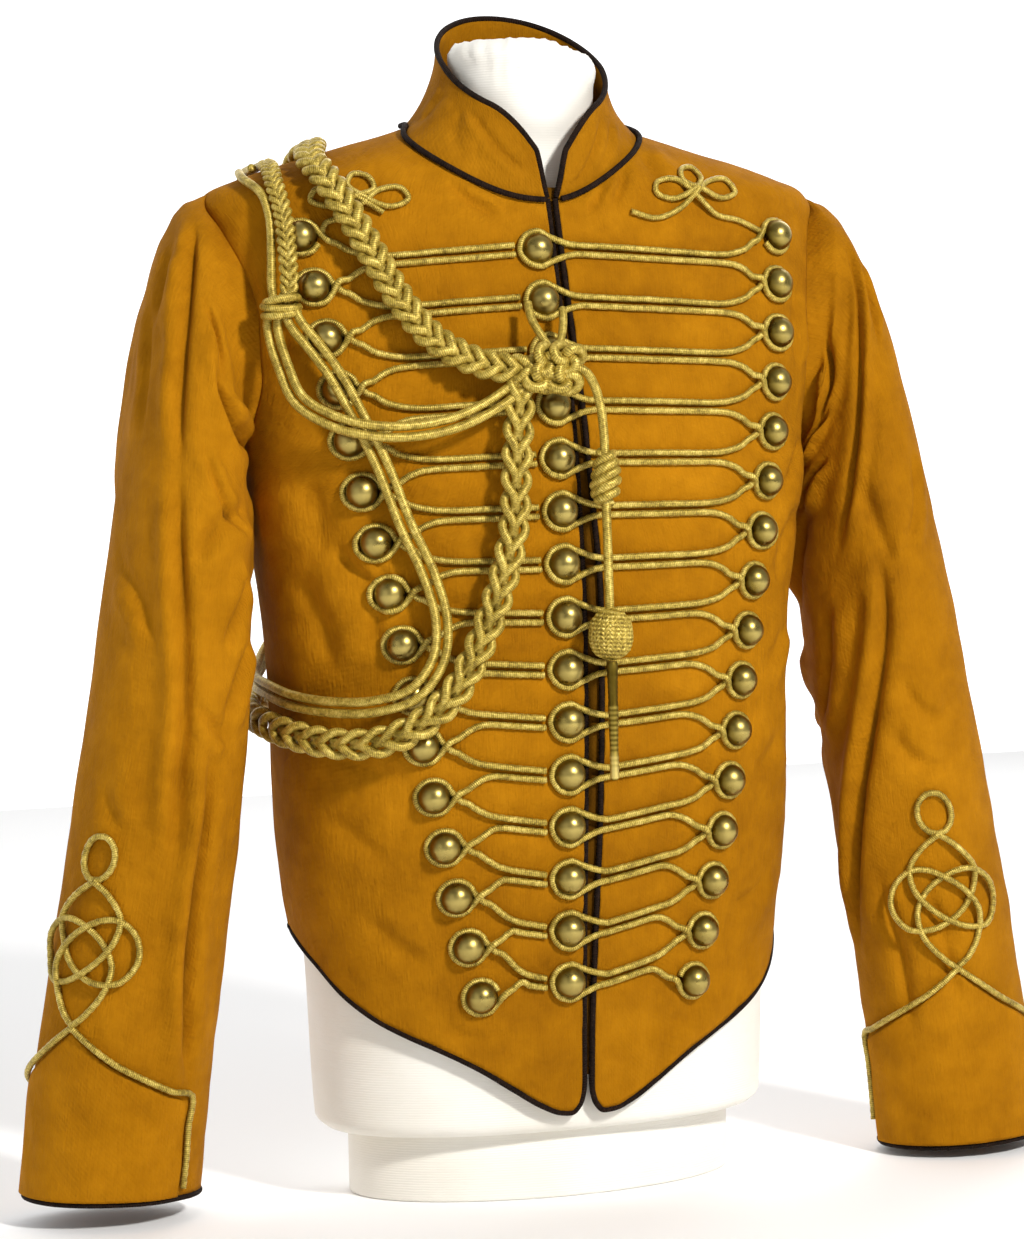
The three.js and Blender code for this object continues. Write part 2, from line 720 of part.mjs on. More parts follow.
for (const side of ['right', 'left']) {
  const rows = fronts[side];
  const edge = [...column(rows, 0).reverse(), ...rows[0].slice(1)];
  const run = beyond(edge, CLOTH, side === 'left' ? 1 : -1);
  add(`edge_piping_${side}`, loft(carry(drawnIn(run, 0.8), pipeSection)), blackPiping);
}
const backHem = beyond(back[0], CLOTH, 1);
add('back_hem_piping', loft(carry(drawnIn(backHem, 0.8), pipeSection)), blackPiping);

// ------------------------------------------------------- buttons and frogging

const ROWS = 15;
const FIRST_ROW = 621;
const ROW_PITCH = 33.85;
const FIRST_OUTER = 631;
const OUTER_PITCH = 32.7;
const BUTTON_X = -15.5;
const BUTTON_RADIUS = 11;
const LOOP_RADIUS = 12;
const CORD_LIFT = 3.3;

// The two outer lines of buttons close in toward the waist's point.
const outerLine = [
  { z: 130, x: 71 },
  { z: 250, x: 98 },
  { z: 370, x: 119 },
  { z: 500, x: 146 },
  { z: 640, x: 167 },
];

const rowZ = (row) => FIRST_ROW - row * ROW_PITCH;
const outerZ = (button) => FIRST_OUTER - button * OUTER_PITCH;
const outerX = (button) => read(outerLine, 'z', 'x', outerZ(button));

// A lathe stood on the front, turned to face out of it.
function onFront(profile, x, z, sides) {
  const { point, normal } = frontSpot(x, z, 1.1);
  const geometry = new THREE.LatheGeometry(profile.map(([r, h]) => new THREE.Vector2(r, h)), sides);
  const turn = new THREE.Quaternion().setFromUnitVectors(new THREE.Vector3(0, 1, 0), normal);
  return geometry.applyQuaternion(turn).translate(point.x, point.y, point.z);
}

// LatheGeometry repeats its seam, so a lathe is welded here to join it to others.
function welded(geometry) {
  const position = geometry.getAttribute('position');
  const points = [];
  const where = new Map();
  const index = Array.from({ length: position.count }, (_, i) => {
    const p = new THREE.Vector3().fromBufferAttribute(position, i);
    const key = [p.x, p.y, p.z].map((v) => Math.round(v * 1000)).join();
    if (!where.has(key)) {
      where.set(key, points.length);
      points.push(p);
    }
    return where.get(key);
  });
  const faces = [];
  const old = geometry.getIndex().array;
  for (let i = 0; i < old.length; i += 3) {
    const [a, b, c] = [index[old[i]], index[old[i + 1]], index[old[i + 2]]];
    if (a !== b && b !== c && c !== a) faces.push(a, b, c);
  }
  return closed(points, faces);
}

const domeProfile = [[0, 0], [5.5, 0], [6, 5], [BUTTON_RADIUS, 5.2], [8.4, 9], [0, 11.6]];
const ringedProfile = [[0, 0], [15.4, 0], [13.6, 3.9], [9.6, 7], [0, 11.2]];

function outerButton(button, mirror) {
  return welded(onFront(ringedProfile, mirror * outerX(button), outerZ(button), 8));
}

// The way of one cord from the middle of a row out to the button above or below.
function branchKeys(row, mirror, upward) {
  const button = upward ? row : row + 1;
  const level = (outerZ(row) + outerZ(row + 1)) / 2;
  const end = outerX(button);
  const near = (outerX(row) + outerX(row + 1)) / 2;
  const hand = upward ? 1 : -1;
  const start = mirror > 0 ? BUTTON_X + 26 : -BUTTON_X + 24;
  const slope = (x) => rowZ(row) + ((level - rowZ(row)) * (x - start)) / (near - 30 - start);
  const middle = start + (near - 42 - start) * 0.5;
  return [
    [start, rowZ(row) + hand * 3.4],
    [middle, slope(middle) + hand * 3.2],
    [near - 42, level + hand * 3.2],
    [near - 27, level + hand * 5],
    [end - 11.2, outerZ(button) - hand * 5.2],
  ];
}

const spotOnFront = (mirror) => ([x, z]) => frontSpot(mirror * x, z, CORD_LIFT);

// On the left each cord crosses the opening, rounds its button and comes back.
function loopedCord(row) {
  const z = rowZ(row);
  const upper = branchKeys(row, 1, true).reverse();
  const lower = branchKeys(row, 1, false);
  const bend = [60, 115, 180, 245, 300].map((angle) => [
    BUTTON_X + LOOP_RADIUS * Math.cos(angle * DEG),
    z + LOOP_RADIUS * Math.sin(angle * DEG),
  ]);
  return [...upper, ...bend, ...lower].map(spotOnFront(1));
}

// On the right it turns back short of that loop.
function turnedCord(row) {
  const z = rowZ(row);
  const upper = branchKeys(row, -1, true).reverse();
  const lower = branchKeys(row, -1, false);
  const turn = -BUTTON_X + 18.4;
  return [...upper, [turn, z + 2.6], [turn, z - 2.6], ...lower].map(spotOnFront(-1));
}

// The trefoil over the top button: two side loops, a small one above and the tail.
const trefoil = [
  { x: 153, z: 634 },
  { x: 136, z: 641 },
  { x: 118, z: 645 },
  { x: 103, z: 657 },
  { x: 92, z: 666 },
  { x: 78, z: 667 },
  { x: 74, z: 660 },
  { x: 86, z: 655 },
  { x: 101, z: 660 },
  { x: 111, z: 669 },
  { x: 106, z: 676 },
  { x: 97, z: 674 },
  { x: 95, z: 667 },
  { x: 108, z: 661 },
  { x: 124, z: 656 },
  { x: 136, z: 660 },
  { x: 131, z: 668 },
  { x: 117, z: 667 },
  { x: 104, z: 659 },
  { x: 90, z: 648 },
  { x: 72, z: 642 },
  { x: 54, z: 646 },
];

// The right one sits farther out, half under the plait.
const outerTrefoil = [
  { x: 153, z: 634 },
  { x: 150, z: 640 },
  { x: 141, z: 643 },
  { x: 126, z: 652 },
  { x: 115, z: 661 },
  { x: 101, z: 662 },
  { x: 97, z: 655 },
  { x: 109, z: 650 },
  { x: 124, z: 655 },
  { x: 134, z: 664 },
  { x: 129, z: 671 },
  { x: 120, z: 669 },
  { x: 118, z: 662 },
  { x: 131, z: 656 },
  { x: 147, z: 651 },
  { x: 158, z: 655 },
  { x: 153, z: 662 },
  { x: 140, z: 661 },
  { x: 127, z: 654 },
  { x: 114, z: 646 },
];

function trefoilCord(mirror) {
  const keys = mirror > 0 ? trefoil : outerTrefoil;
  return keys.map(({ x, z }) => frontSpot(mirror * x, z, CORD_LIFT));
}

function frogging(side) {
  const mirror = side === 'left' ? 1 : -1;
  const pieces = [loft(carry(trefoilCord(mirror), ridge))];
  for (let button = 0; button <= ROWS; button += 1) pieces.push(outerButton(button, mirror));
  for (let row = 0; row < ROWS; row += 1) {
    const spots = side === 'left' ? loopedCord(row) : turnedCord(row);
    pieces.push(loft(carry(spots, ridge)));
  }
  return join(pieces);
}

add('frogging_right', frogging('right'), goldCord);
add('frogging_left', frogging('left'), goldCord);

for (let row = 0; row < ROWS; row += 1) {
  const number = String(row + 1).padStart(2, '0');
  add(`button_${number}`, onFront(domeProfile, BUTTON_X, rowZ(row), 8), agedBrass);
}

// ---------------------------------------------------------------- aiguillette

const PLAIT = 10;
const STRAND = 2.9;

// Each run is a row of places: the direction round the body, the height there, and how far
// the middle of the cord stands off the cloth.
const chestPlait = [
  { around: -90, z: 690, lift: 11 },
  { around: -81, z: 684.5, lift: 11.5 },
  { around: -74.5, z: 675, lift: 13 },
  { around: -69.5, z: 665, lift: 15 },
  { around: -66, z: 652, lift: 16.5 },
  { around: -62.2, z: 631.5, lift: 16 },
  { around: -57.7, z: 607.5, lift: 15.5 },
  { around: -52, z: 581.5, lift: 15 },
  { around: -45.4, z: 560, lift: 16 },
  { around: -36, z: 545, lift: 19 },
  { around: -27, z: 539, lift: 22 },
  { around: -19.5, z: 538.5, lift: 24 },
];

const armPlait = [
  { around: -24, z: 523, lift: 20 },
  { around: -24, z: 487, lift: 16 },
  { around: -25.5, z: 439, lift: 16 },
  { around: -29.5, z: 403, lift: 17 },
  { around: -35, z: 369, lift: 19 },
  { around: -41, z: 340, lift: 21.5 },
  { around: -49, z: 319, lift: 22.5 },
  { around: -57, z: 309, lift: 20 },
  { around: -67, z: 308, lift: 15 },
  { around: -77, z: 313, lift: 12.5 },
  { around: -86, z: 318, lift: 11.5 },
  { around: -95, z: 322, lift: 11.5 },
  { around: -104, z: 328, lift: 12 },
  { around: -114, z: 342, lift: 12 },
  { around: -123, z: 368, lift: 12 },
  { around: -129, z: 410, lift: 12 },
  { around: -131, z: 470, lift: 12 },
  { around: -131, z: 530, lift: 12 },
  { around: -129, z: 590, lift: 12 },
  { around: -125, z: 640, lift: 12 },
  { around: -118, z: 669, lift: 12 },
  { around: -105, z: 686, lift: 11.5 },
  { around: -93, z: 690, lift: 11 },
];

// Two cords come over the shoulder to a small knot, one of them plaited.
const shoulderCord = [
  { around: -90, z: 674, lift: 4.5 },
  { around: -82, z: 667.5, lift: 5 },
  { around: -77, z: 657.5, lift: 6.5 },
  { around: -75.2, z: 642, lift: 10 },
  { around: -73.9, z: 618, lift: 15 },
  { around: -73, z: 596, lift: 17 },
];

const shoulderPlait = [
  { around: -90, z: 680.5, lift: 6.5 },
  { around: -80.5, z: 673, lift: 7.5 },
  { around: -75.5, z: 662, lift: 9 },
  { around: -73.2, z: 646, lift: 13.5 },
  { around: -71.9, z: 627, lift: 17.5 },
  { around: -70.5, z: 606, lift: 18 },
  { around: -70, z: 597, lift: 17.5 },
];

// A pair of cords hangs from it, goes under the arm and comes up the back.
const hangingPair = [
  { around: -69, z: 573, lift: 15 },
  { around: -66.5, z: 560, lift: 14.5 },
  { around: -63, z: 541, lift: 15.4 },
  { around: -59, z: 514, lift: 14 },
  { around: -54.5, z: 481, lift: 13 },
  { around: -50.5, z: 446, lift: 12 },
  { around: -46, z: 414, lift: 12.5 },
  { around: -43.5, z: 385, lift: 14 },
  { around: -44.5, z: 360, lift: 18 },
  { around: -49.5, z: 340, lift: 22 },
  { around: -57, z: 332, lift: 21 },
  { around: -66, z: 331, lift: 15 },
  { around: -76, z: 334, lift: 9.5 },
  { around: -86, z: 340, lift: 8 },
  { around: -96, z: 345, lift: 8 },
  { around: -106, z: 356, lift: 9 },
  { around: -114, z: 382, lift: 9 },
  { around: -119, z: 430, lift: 9 },
  { around: -121.5, z: 500, lift: 9 },
  { around: -121.5, z: 560, lift: 9 },
  { around: -119, z: 615, lift: 9 },
  { around: -113, z: 652, lift: 9 },
  { around: -102, z: 674, lift: 8 },
  { around: -92.5, z: 678.5, lift: 7 },
];

// Two more swing lower across the chest to the large knot.
const swungPair = [
  { around: -72.5, z: 572, lift: 14 },
  { around: -70.5, z: 548, lift: 20 },
  { around: -68, z: 527, lift: 22 },
  { around: -62.5, z: 512, lift: 23 },
  { around: -56, z: 505, lift: 22 },
  { around: -48.5, z: 504, lift: 20 },
  { around: -40, z: 507, lift: 19 },
  { around: -33, z: 512, lift: 20 },
];

// The cord of the pencil hangs clear: from the large knot to a wrapped knot and a ball.
const pencilCord = [
  { x: -6, y: -138, z: 540 },
  { x: 1, y: -140, z: 532 },
  { x: 6, y: -142, z: 516 },
  { x: 7, y: -143, z: 493 },
];
const pencilTail = [
  { x: 7, y: -144, z: 453 },
  { x: 7, y: -145, z: 430 },
  { x: 7, y: -146, z: 390 },
];

function onBody(run, steps) {
  const keys = run.map(({ around, z, lift }) => {
    const normal = bodyNormal(around * DEG, z);
    return { point: bodyPoint(around * DEG, z).addScaledVector(normal, lift), normal };
  });
  return smooth(keys, steps);
}

function inAir(run, steps) {
  const normal = new THREE.Vector3(0, -1, 0);
  return smooth(run.map(({ x, y, z }) => ({ point: new THREE.Vector3(x, y, z), normal })), steps);
}

// A cord beside the run of another, to one side of it along the cloth.
function beside(spots, distance) {
  return spots.map((spot, i) => {
    const before = spots[Math.max(i - 1, 0)].point;
    const after = spots[Math.min(i + 1, spots.length - 1)].point;
    const across = after.clone().sub(before).cross(spot.normal).setLength(distance);
    return { point: spot.point.clone().add(across), normal: spot.normal };
  });
}

// A rounded solid of turned section, standing upright at a place.
function bead(profile, [x, y, z], sides, flat = 1) {
  const points = profile.map(([r, h]) => new THREE.Vector2(r, h));
  return new THREE.LatheGeometry(points, sides).rotateX(Math.PI / 2).scale(1, flat, 1).translate(x, y, z);
}

const knotProfile = [[0, -19], [9, -16], [14, -7], [14, 7], [9, 16], [0, 19]];
const smallKnotProfile = [[0, -10], [7, -8], [9, 0], [7, 8], [0, 10]];
const wrapProfile = [[0, -19.5], [5, -18.5], [10.5, -6], [9.5, 8], [4.5, 18.5], [0, 19.5]];
const ballProfile = [[0, -17], [8, -14.5], [14.5, -3], [13.5, 7], [6, 14.5], [0, 16]];
const tipProfile = [[0, -38], [2.6, -36], [3, -22], [4.6, 36], [0, 38]];

add('plait_chest', cord(onBody(chestPlait, 14), PLAIT, 8), goldCord);
add('plait_under_arm', cord(onBody(armPlait, 28), PLAIT, 8), goldCord);
add('plait_knot', bead(knotProfile, [-22, -135, 544], 10, 0.85), goldCord);
add('shoulder_cord', cord(onBody(shoulderCord, 6), STRAND), goldCord);
add('shoulder_plait', cord(onBody(shoulderPlait, 7), 5.2), goldCord);
add('shoulder_knot', bead(smallKnotProfile, [-186, -76, 585.5], 8, 0.7), goldCord);
const hanging = onBody(hangingPair, 30);
add('hanging_cord_1', cord(beside(hanging, 3.7), STRAND), goldCord);
add('hanging_cord_2', cord(beside(hanging, -3.7), STRAND), goldCord);
const swung = onBody(swungPair, 12);
add('swung_cord_1', cord(beside(swung, 3.5), STRAND), goldCord);
add('swung_cord_2', cord(beside(swung, -3.5), STRAND), goldCord);
add('pencil_cord', cord(inAir(pencilCord, 5), STRAND), goldCord);
add('pencil_wrap', bead(wrapProfile, [7, -144, 473], 8), goldCord);
add('pencil_tail', cord(inAir(pencilTail, 3), STRAND), goldCord);
add('pencil_ball', bead(ballProfile, [7, -147, 373], 8), goldCord);
add('pencil_tip', bead(tipProfile, [7, -148, 317.5], 8), agedBrass);

// ---------------------------------------------------------------- dress form

// Level sections of the form: the same figure as the jacket's, well inside it.
const formSections = [
  { z: 46, half: 149, front: 84, back: 80, middle: -12 },
  { z: 52, half: 155, front: 89, back: 84, middle: -12 },
  { z: 150, half: 159, front: 95, back: 89, middle: -12 },
  { z: 250, half: 168, front: 101, back: 89, middle: -12 },
  { z: 340, half: 169, front: 104, back: 86, middle: -12 },
  { z: 440, half: 180, front: 102, back: 89, middle: -11 },
  { z: 510, half: 186, front: 97, back: 97, middle: -10 },
  { z: 570, half: 194, front: 85, back: 99, middle: -6 },
  { z: 610, half: 198, front: 77, back: 95, middle: -4 },
  { z: 636, half: 199, front: 71, back: 90, middle: -1 },
  { z: 649, half: 194, front: 68, back: 85, middle: 0 },
  { z: 659, half: 178, front: 65, back: 80, middle: 0 },
  { z: 671, half: 142, front: 61, back: 74, middle: 0 },
  { z: 684, half: 97, front: 56, back: 66, middle: -2 },
  { z: 696, half: 62, front: 50, back: 56, middle: -8 },
  { z: 709, half: 52, front: 47, back: 48, middle: -16 },
  { z: 735, half: 49, front: 45, back: 46, middle: -24 },
  { z: 753, half: 49.5, front: 44, back: 46, middle: -28 },
  { z: 761, half: 44, front: 39, back: 41, middle: -28 },
];

function level(section, full, sides = 18) {
  return Array.from({ length: sides }, (_, i) => {
    const around = ((i + 0.5) / sides) * 2 * Math.PI;
    const side = Math.sin(around);
    const ahead = Math.cos(around);
    const depth = ahead > 0 ? section.front : section.back;
    const sum = Math.abs(side / section.half) ** full + Math.abs(ahead / depth) ** full;
    const reach = sum ** (-1 / full);
    return new THREE.Vector3(reach * side, section.middle - reach * ahead, section.z);
  });
}

add('dress_form', loft(formSections.map((s) => level(s, s.z > 640 ? 2 : 2.3))), formWhite);

const footSections = [
  { z: 0, half: 134, front: 76, back: 74, middle: -12 },
  { z: 45.6, half: 136, front: 78, back: 76, middle: -12 },
];
add('form_base', loft(footSections.map((s) => level(s, 2.3))), formWhite);

export default jacket;
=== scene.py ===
# A gold-laced hussar jacket on a limbless dress form.
# Metres in the scene, millimetres in the garment's tables; the front faces -Y.
import math

import bmesh
import bpy
import numpy as np
from mathutils import Matrix, Vector


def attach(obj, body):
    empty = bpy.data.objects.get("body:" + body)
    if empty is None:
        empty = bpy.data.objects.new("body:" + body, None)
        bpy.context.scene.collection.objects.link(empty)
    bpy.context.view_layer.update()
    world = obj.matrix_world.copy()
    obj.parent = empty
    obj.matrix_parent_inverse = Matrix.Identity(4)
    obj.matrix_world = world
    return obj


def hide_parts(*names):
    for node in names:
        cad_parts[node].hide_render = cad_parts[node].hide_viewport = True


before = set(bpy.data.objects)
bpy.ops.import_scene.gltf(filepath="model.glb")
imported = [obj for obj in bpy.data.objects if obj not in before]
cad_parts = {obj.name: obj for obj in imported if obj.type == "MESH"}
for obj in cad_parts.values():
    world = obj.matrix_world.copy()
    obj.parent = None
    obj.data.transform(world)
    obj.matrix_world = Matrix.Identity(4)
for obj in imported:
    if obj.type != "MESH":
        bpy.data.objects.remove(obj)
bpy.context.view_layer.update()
print("frame loaded:", len(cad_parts), "nodes")

mm = 0.001
degree = math.pi / 180


# Camera, lights and floor

cameraLook = {
    "place": (-0.8266, -2.2532, 0.492),
    "yaw": -20.0,
    "pitchDown": 2.736,
    "roll": 1.4,
    "lens": 103.07,
}


def makeCamera(look):
    yaw, pitch, roll = (look[k] * degree for k in ("yaw", "pitchDown", "roll"))
    levelRight = Vector((math.cos(yaw), math.sin(yaw), 0))
    levelAhead = Vector((-math.sin(yaw), math.cos(yaw), 0))
    ahead = levelAhead * math.cos(pitch) - Vector((0, 0, 1)) * math.sin(pitch)
    above = levelAhead * math.sin(pitch) + Vector((0, 0, 1)) * math.cos(pitch)
    right = levelRight * math.cos(roll) - above * math.sin(roll)
    up = above * math.cos(roll) + levelRight * math.sin(roll)
    data = bpy.data.cameras.new("camera")
    data.lens = look["lens"]
    camera = bpy.data.objects.new("camera", data)
    turn = Matrix((right, up, -ahead)).transposed().to_4x4()
    camera.matrix_world = Matrix.Translation(look["place"]) @ turn
    bpy.context.scene.collection.objects.link(camera)
    bpy.context.scene.camera = camera


lightLook = {
    "key": {"place": (0.75, -2.6, 2.0), "size": 0.4, "watts": 96, "colour": (1.0, 0.98, 0.95)},
    "fill": {"place": (-2.6, -1.7, 1.1), "size": 2.2, "watts": 7, "colour": (1.0, 1.0, 1.0)},
    "rim": {"place": (1.6, 1.9, 1.9), "size": 1.6, "watts": 20, "colour": (1.0, 1.0, 1.0)},
    "aim": (0.0, 0.0, 0.42),
    "roomInFront": (0.29, 0.29, 0.29),
    "roomBehind": (1.5, 1.5, 1.5),
}


def makeLights(look):
    for name in ("key", "fill", "rim"):
        one = look[name]
        data = bpy.data.lights.new(name, "AREA")
        data.shape = "DISK"
        data.size = one["size"]
        data.energy = one["watts"]
        data.color = one["colour"]
        lamp = bpy.data.objects.new(name, data)
        lamp.location = one["place"]
        toward = Vector(look["aim"]) - Vector(one["place"])
        lamp.rotation_euler = toward.to_track_quat("-Z", "Y").to_euler()
        bpy.context.scene.collection.objects.link(lamp)
    # the room is white behind the jacket and dimmer in front of it
    world = bpy.data.worlds.new("studio")
    world.use_nodes = True
    tree = world.node_tree
    direction = tree.nodes.new("ShaderNodeTexCoord").outputs["Generated"]
    apart = tree.nodes.new("ShaderNodeSeparateXYZ")
    tree.links.new(direction, apart.inputs["Vector"])
    blend = tree.nodes.new("ShaderNodeValToRGB")
    tree.links.new(apart.outputs["Y"], blend.inputs["Fac"])
    blend.color_ramp.elements[0].position = 0.0
    blend.color_ramp.elements[0].color = (*look["roomInFront"], 1)
    blend.color_ramp.elements[1].position = 0.5
    blend.color_ramp.elements[1].color = (*look["roomBehind"], 1)
    tree.links.new(blend.outputs["Color"], tree.nodes["Background"].inputs["Color"])
    bpy.context.scene.world = world
    bpy.context.scene.view_settings.view_transform = "Standard"
    bpy.context.scene.view_settings.look = "None"


floorLook = {"size": 5.4, "colour": (0.97, 0.97, 0.97), "roughness": 0.85}


def makeFloor(look):
    bpy.ops.object.select_all(action="DESELECT")
    bpy.ops.mesh.primitive_plane_add(size=look["size"], location=(0, 0, 0))
    floor = bpy.context.object
    floor.name = "floor"
    material = bpy.data.materials.new("floor_paint")
    material.use_nodes = True
    shader = material.node_tree.nodes["Principled BSDF"]
    shader.inputs["Base Color"].default_value = (*look["colour"], 1)
    shader.inputs["Roughness"].default_value = look["roughness"]
    floor.data.materials.append(material)


makeCamera(cameraLook)
makeLights(lightLook)
makeFloor(floorLook)
print("stage ready")


# Materials

def addNode(tree, kind, inputs=None, **fields):
    node = tree.nodes.new(kind)
    for key, value in fields.items():
        setattr(node, key, value)
    for key, value in (inputs or {}).items():
        if isinstance(value, bpy.types.NodeSocket):
            tree.links.new(value, node.inputs[key])
        else:
            node.inputs[key].default_value = value
    return node


def startMaterial(name, constants):
    material = bpy.data.materials.new(name)
    material.use_nodes = True
    tree = material.node_tree
    shader = tree.nodes["Principled BSDF"]
    for key, value in constants.items():
        shader.inputs[key].default_value = value
    place = addNode(tree, "ShaderNodeTexCoord").outputs["Object"]
    return material, tree, shader, place


def ramp(tree, fac, stops):
    node = addNode(tree, "ShaderNodeValToRGB", {"Fac": fac})
    while len(node.color_ramp.elements) < len(stops):
        node.color_ramp.elements.new(0.5)
    for element, (position, colour) in zip(node.color_ramp.elements, stops):
        element.position = position
        element.color = (*colour, 1)
    return node.outputs["Color"]


def maths(tree, operation, a, b=0.0):
    node = addNode(tree, "ShaderNodeMath", operation=operation)
    for i, value in enumerate((a, b)):
        if isinstance(value, bpy.types.NodeSocket):
            tree.links.new(value, node.inputs[i])
        else:
            node.inputs[i].default_value = value
    return node.outputs[0]


# The sum of some values, each times its own weight.
def mixed(tree, *terms):
    total = None
    for value, weight in terms:
        part = value if weight == 1 else maths(tree, "MULTIPLY", value, weight)
        total = part if total is None else maths(tree, "ADD", total, part)
    return total


# Ribs that wind round a cord, from -1 to 1.
def windingRibs(tree, pitch, slant):
    uv = addNode(tree, "ShaderNodeUVMap", uv_map="cord").outputs["UV"]
    apart = addNode(tree, "ShaderNodeSeparateXYZ", {"Vector": uv})
    along = maths(tree, "DIVIDE", apart.outputs["X"], pitch)
    turn = mixed(tree, (along, 1), (apart.outputs["Y"], slant))
    return maths(tree, "SINE", maths(tree, "MULTIPLY", turn, 2 * math.pi))


def noise(tree, vector, scale, detail=3.0, rough=0.5):
    node = addNode(tree, "ShaderNodeTexNoise", {
        "Vector": vector, "Scale": scale, "Detail": detail, "Roughness": rough,
    })
    return node.outputs["Fac"]


def bumpInto(tree, shader, height, strength, distance, under=None):
    inputs = {"Height": height, "Strength": strength, "Distance": distance}
    if under is not None:
        inputs["Normal"] = under
    node = addNode(tree, "ShaderNodeBump", inputs)
    tree.links.new(node.outputs["Normal"], shader.inputs["Normal"])
    return node.outputs["Normal"]


clothLook = {
    "shadow": (0.1, 0.032, 0.0005),
    "dark": (0.24, 0.089, 0.001),
    "mid": (0.335, 0.131, 0.0015),
    "light": (0.43, 0.174, 0.003),
    "threadsPerMetre": 1150,
    "sheen": 0.015,
}


def clothMaterial(name, look, shadeScale):
    material, tree, shader, place = startMaterial(name, {
        "Roughness": 0.86, "Sheen Weight": look["sheen"], "Sheen Roughness": 0.45,
        "Sheen Tint": (1.0, 0.72, 0.25, 1), "Specular IOR Level": 0.06,
    })
    uv = addNode(tree, "ShaderNodeUVMap", uv_map="cloth").outputs["UV"]
    broad = noise(tree, place, 7.0, 4.0, 0.55)
    blotch = noise(tree, place, 46.0, 5.0, 0.6)
    slub = addNode(tree, "ShaderNodeMapping", {"Vector": uv, "Scale": (900, 70, 1)})
    streak = noise(tree, slub.outputs["Vector"], 1.0, 3.0, 0.6)
    tone = mixed(tree, (broad, 0.5), (blotch, 0.34), (streak, 0.16))
    stops = [(0.36, look["dark"]), (0.5, look["mid"]), (0.64, look["light"])]
    # a shadeScale below 1 makes a darker copy of the cloth: painted shade
    stops = [(p, tuple(c * shadeScale for c in colour)) for p, colour in stops]
    colour = ramp(tree, tone, stops)
    # painted shade: in the deeper creases the cloth's colour is mixed towards its shadow colour
    creaseShade = addNode(tree, "ShaderNodeAttribute", attribute_name="creaseShade").outputs["Fac"]
    shaded = addNode(tree, "ShaderNodeMix", data_type="RGBA")
    # a Mix node has sockets of the same name for each type, so the colours are set by place
    tree.links.new(creaseShade, shaded.inputs[0])
    tree.links.new(colour, shaded.inputs[6])
    shaded.inputs[7].default_value = (*(c * shadeScale for c in look["shadow"]), 1)
    tree.links.new(shaded.outputs[2], shader.inputs["Base Color"])
    warp = addNode(tree, "ShaderNodeTexWave", {
        "Vector": uv, "Scale": look["threadsPerMetre"] / 20 * 3.2, "Distortion": 0.6,
    }, wave_type="BANDS", bands_direction="DIAGONAL")
    weave = mixed(tree, (warp.outputs["Fac"], 1), (streak, 1.4))
    first = bumpInto(tree, shader, weave, 0.35, 0.00025)
    crumple = noise(tree, place, 34.0, 4.0, 0.55)
    rough = mixed(tree, (crumple, 2.6), (blotch, 0.5), (streak, 0.35))
    bumpInto(tree, shader, rough, 0.7, 0.0024, first)
    return material


cordLook = {
    "shadow": (0.09, 0.055, 0.003),
    "low": (0.27, 0.185, 0.018),
    "high": (0.53, 0.385, 0.06),
    "glint": (0.78, 0.63, 0.19),
}


def cordMaterial(name, look, ribPitch, slant, deep):
    material, tree, shader, place = startMaterial(name, {
        "Metallic": 0.42, "Roughness": 0.42, "Specular IOR Level": 0.5,
    })
    rib = maths(tree, "ADD", maths(tree, "MULTIPLY", windingRibs(tree, ribPitch, slant), 0.5), 0.5)
    mottle = noise(tree, place, 520.0, 3.0, 0.6)
    patch = noise(tree, place, 110.0, 3.0, 0.6)
    tone = mixed(tree, (rib, 0.14), (mottle, 0.5), (patch, 0.4))
    colour = ramp(tree, tone, [
        (0.3, look["shadow"]), (0.44, look["low"]), (0.57, look["high"]), (0.72, look["glint"]),
    ])
    tree.links.new(colour, shader.inputs["Base Color"])
    bumpInto(tree, shader, mixed(tree, (rib, 1), (mottle, 0.7)), 0.55, 0.00035 * deep)
    return material


brassLook = {"dark": (0.04, 0.025, 0.003), "mid": (0.22, 0.155, 0.028), "raised": (0.5, 0.39, 0.12)}
ferruleLook = {"dark": (0.12, 0.08, 0.01), "mid": (0.42, 0.31, 0.06), "raised": (0.75, 0.6, 0.2)}


def brassMaterial(name, look, roughness):
    material, tree, shader, place = startMaterial(name, {"Metallic": 1.0, "Roughness": roughness})
    grime = noise(tree, place, 130.0, 4.0, 0.6)
    fine = noise(tree, place, 900.0, 2.0, 0.5)
    # painted reflection and shade, partly patina: by the dome attribute the brass is coloured dark where
    # it is low and light where it is raised, as at a button's rim and top
    height = addNode(tree, "ShaderNodeAttribute", attribute_name="dome").outputs["Fac"]
    tone = mixed(tree, (height, 0.75), (grime, 0.3))
    colour = ramp(tree, tone, [(0.26, look["dark"]), (0.6, look["mid"]), (0.98, look["raised"])])
    tree.links.new(colour, shader.inputs["Base Color"])
    rough = addNode(tree, "ShaderNodeMapRange", {
        "Value": grime, "From Min": 0.3, "From Max": 0.7,
        "To Min": roughness - 0.05, "To Max": roughness + 0.14,
    })
    tree.links.new(rough.outputs["Result"], shader.inputs["Roughness"])
    bumpInto(tree, shader, mixed(tree, (fine, 1), (grime, 1)), 0.12, 0.0003)
    return material


pipingLook = {"dark": (0.005, 0.0022, 0.0012), "light": (0.02, 0.0095, 0.005), "ribPitch": 0.0017}


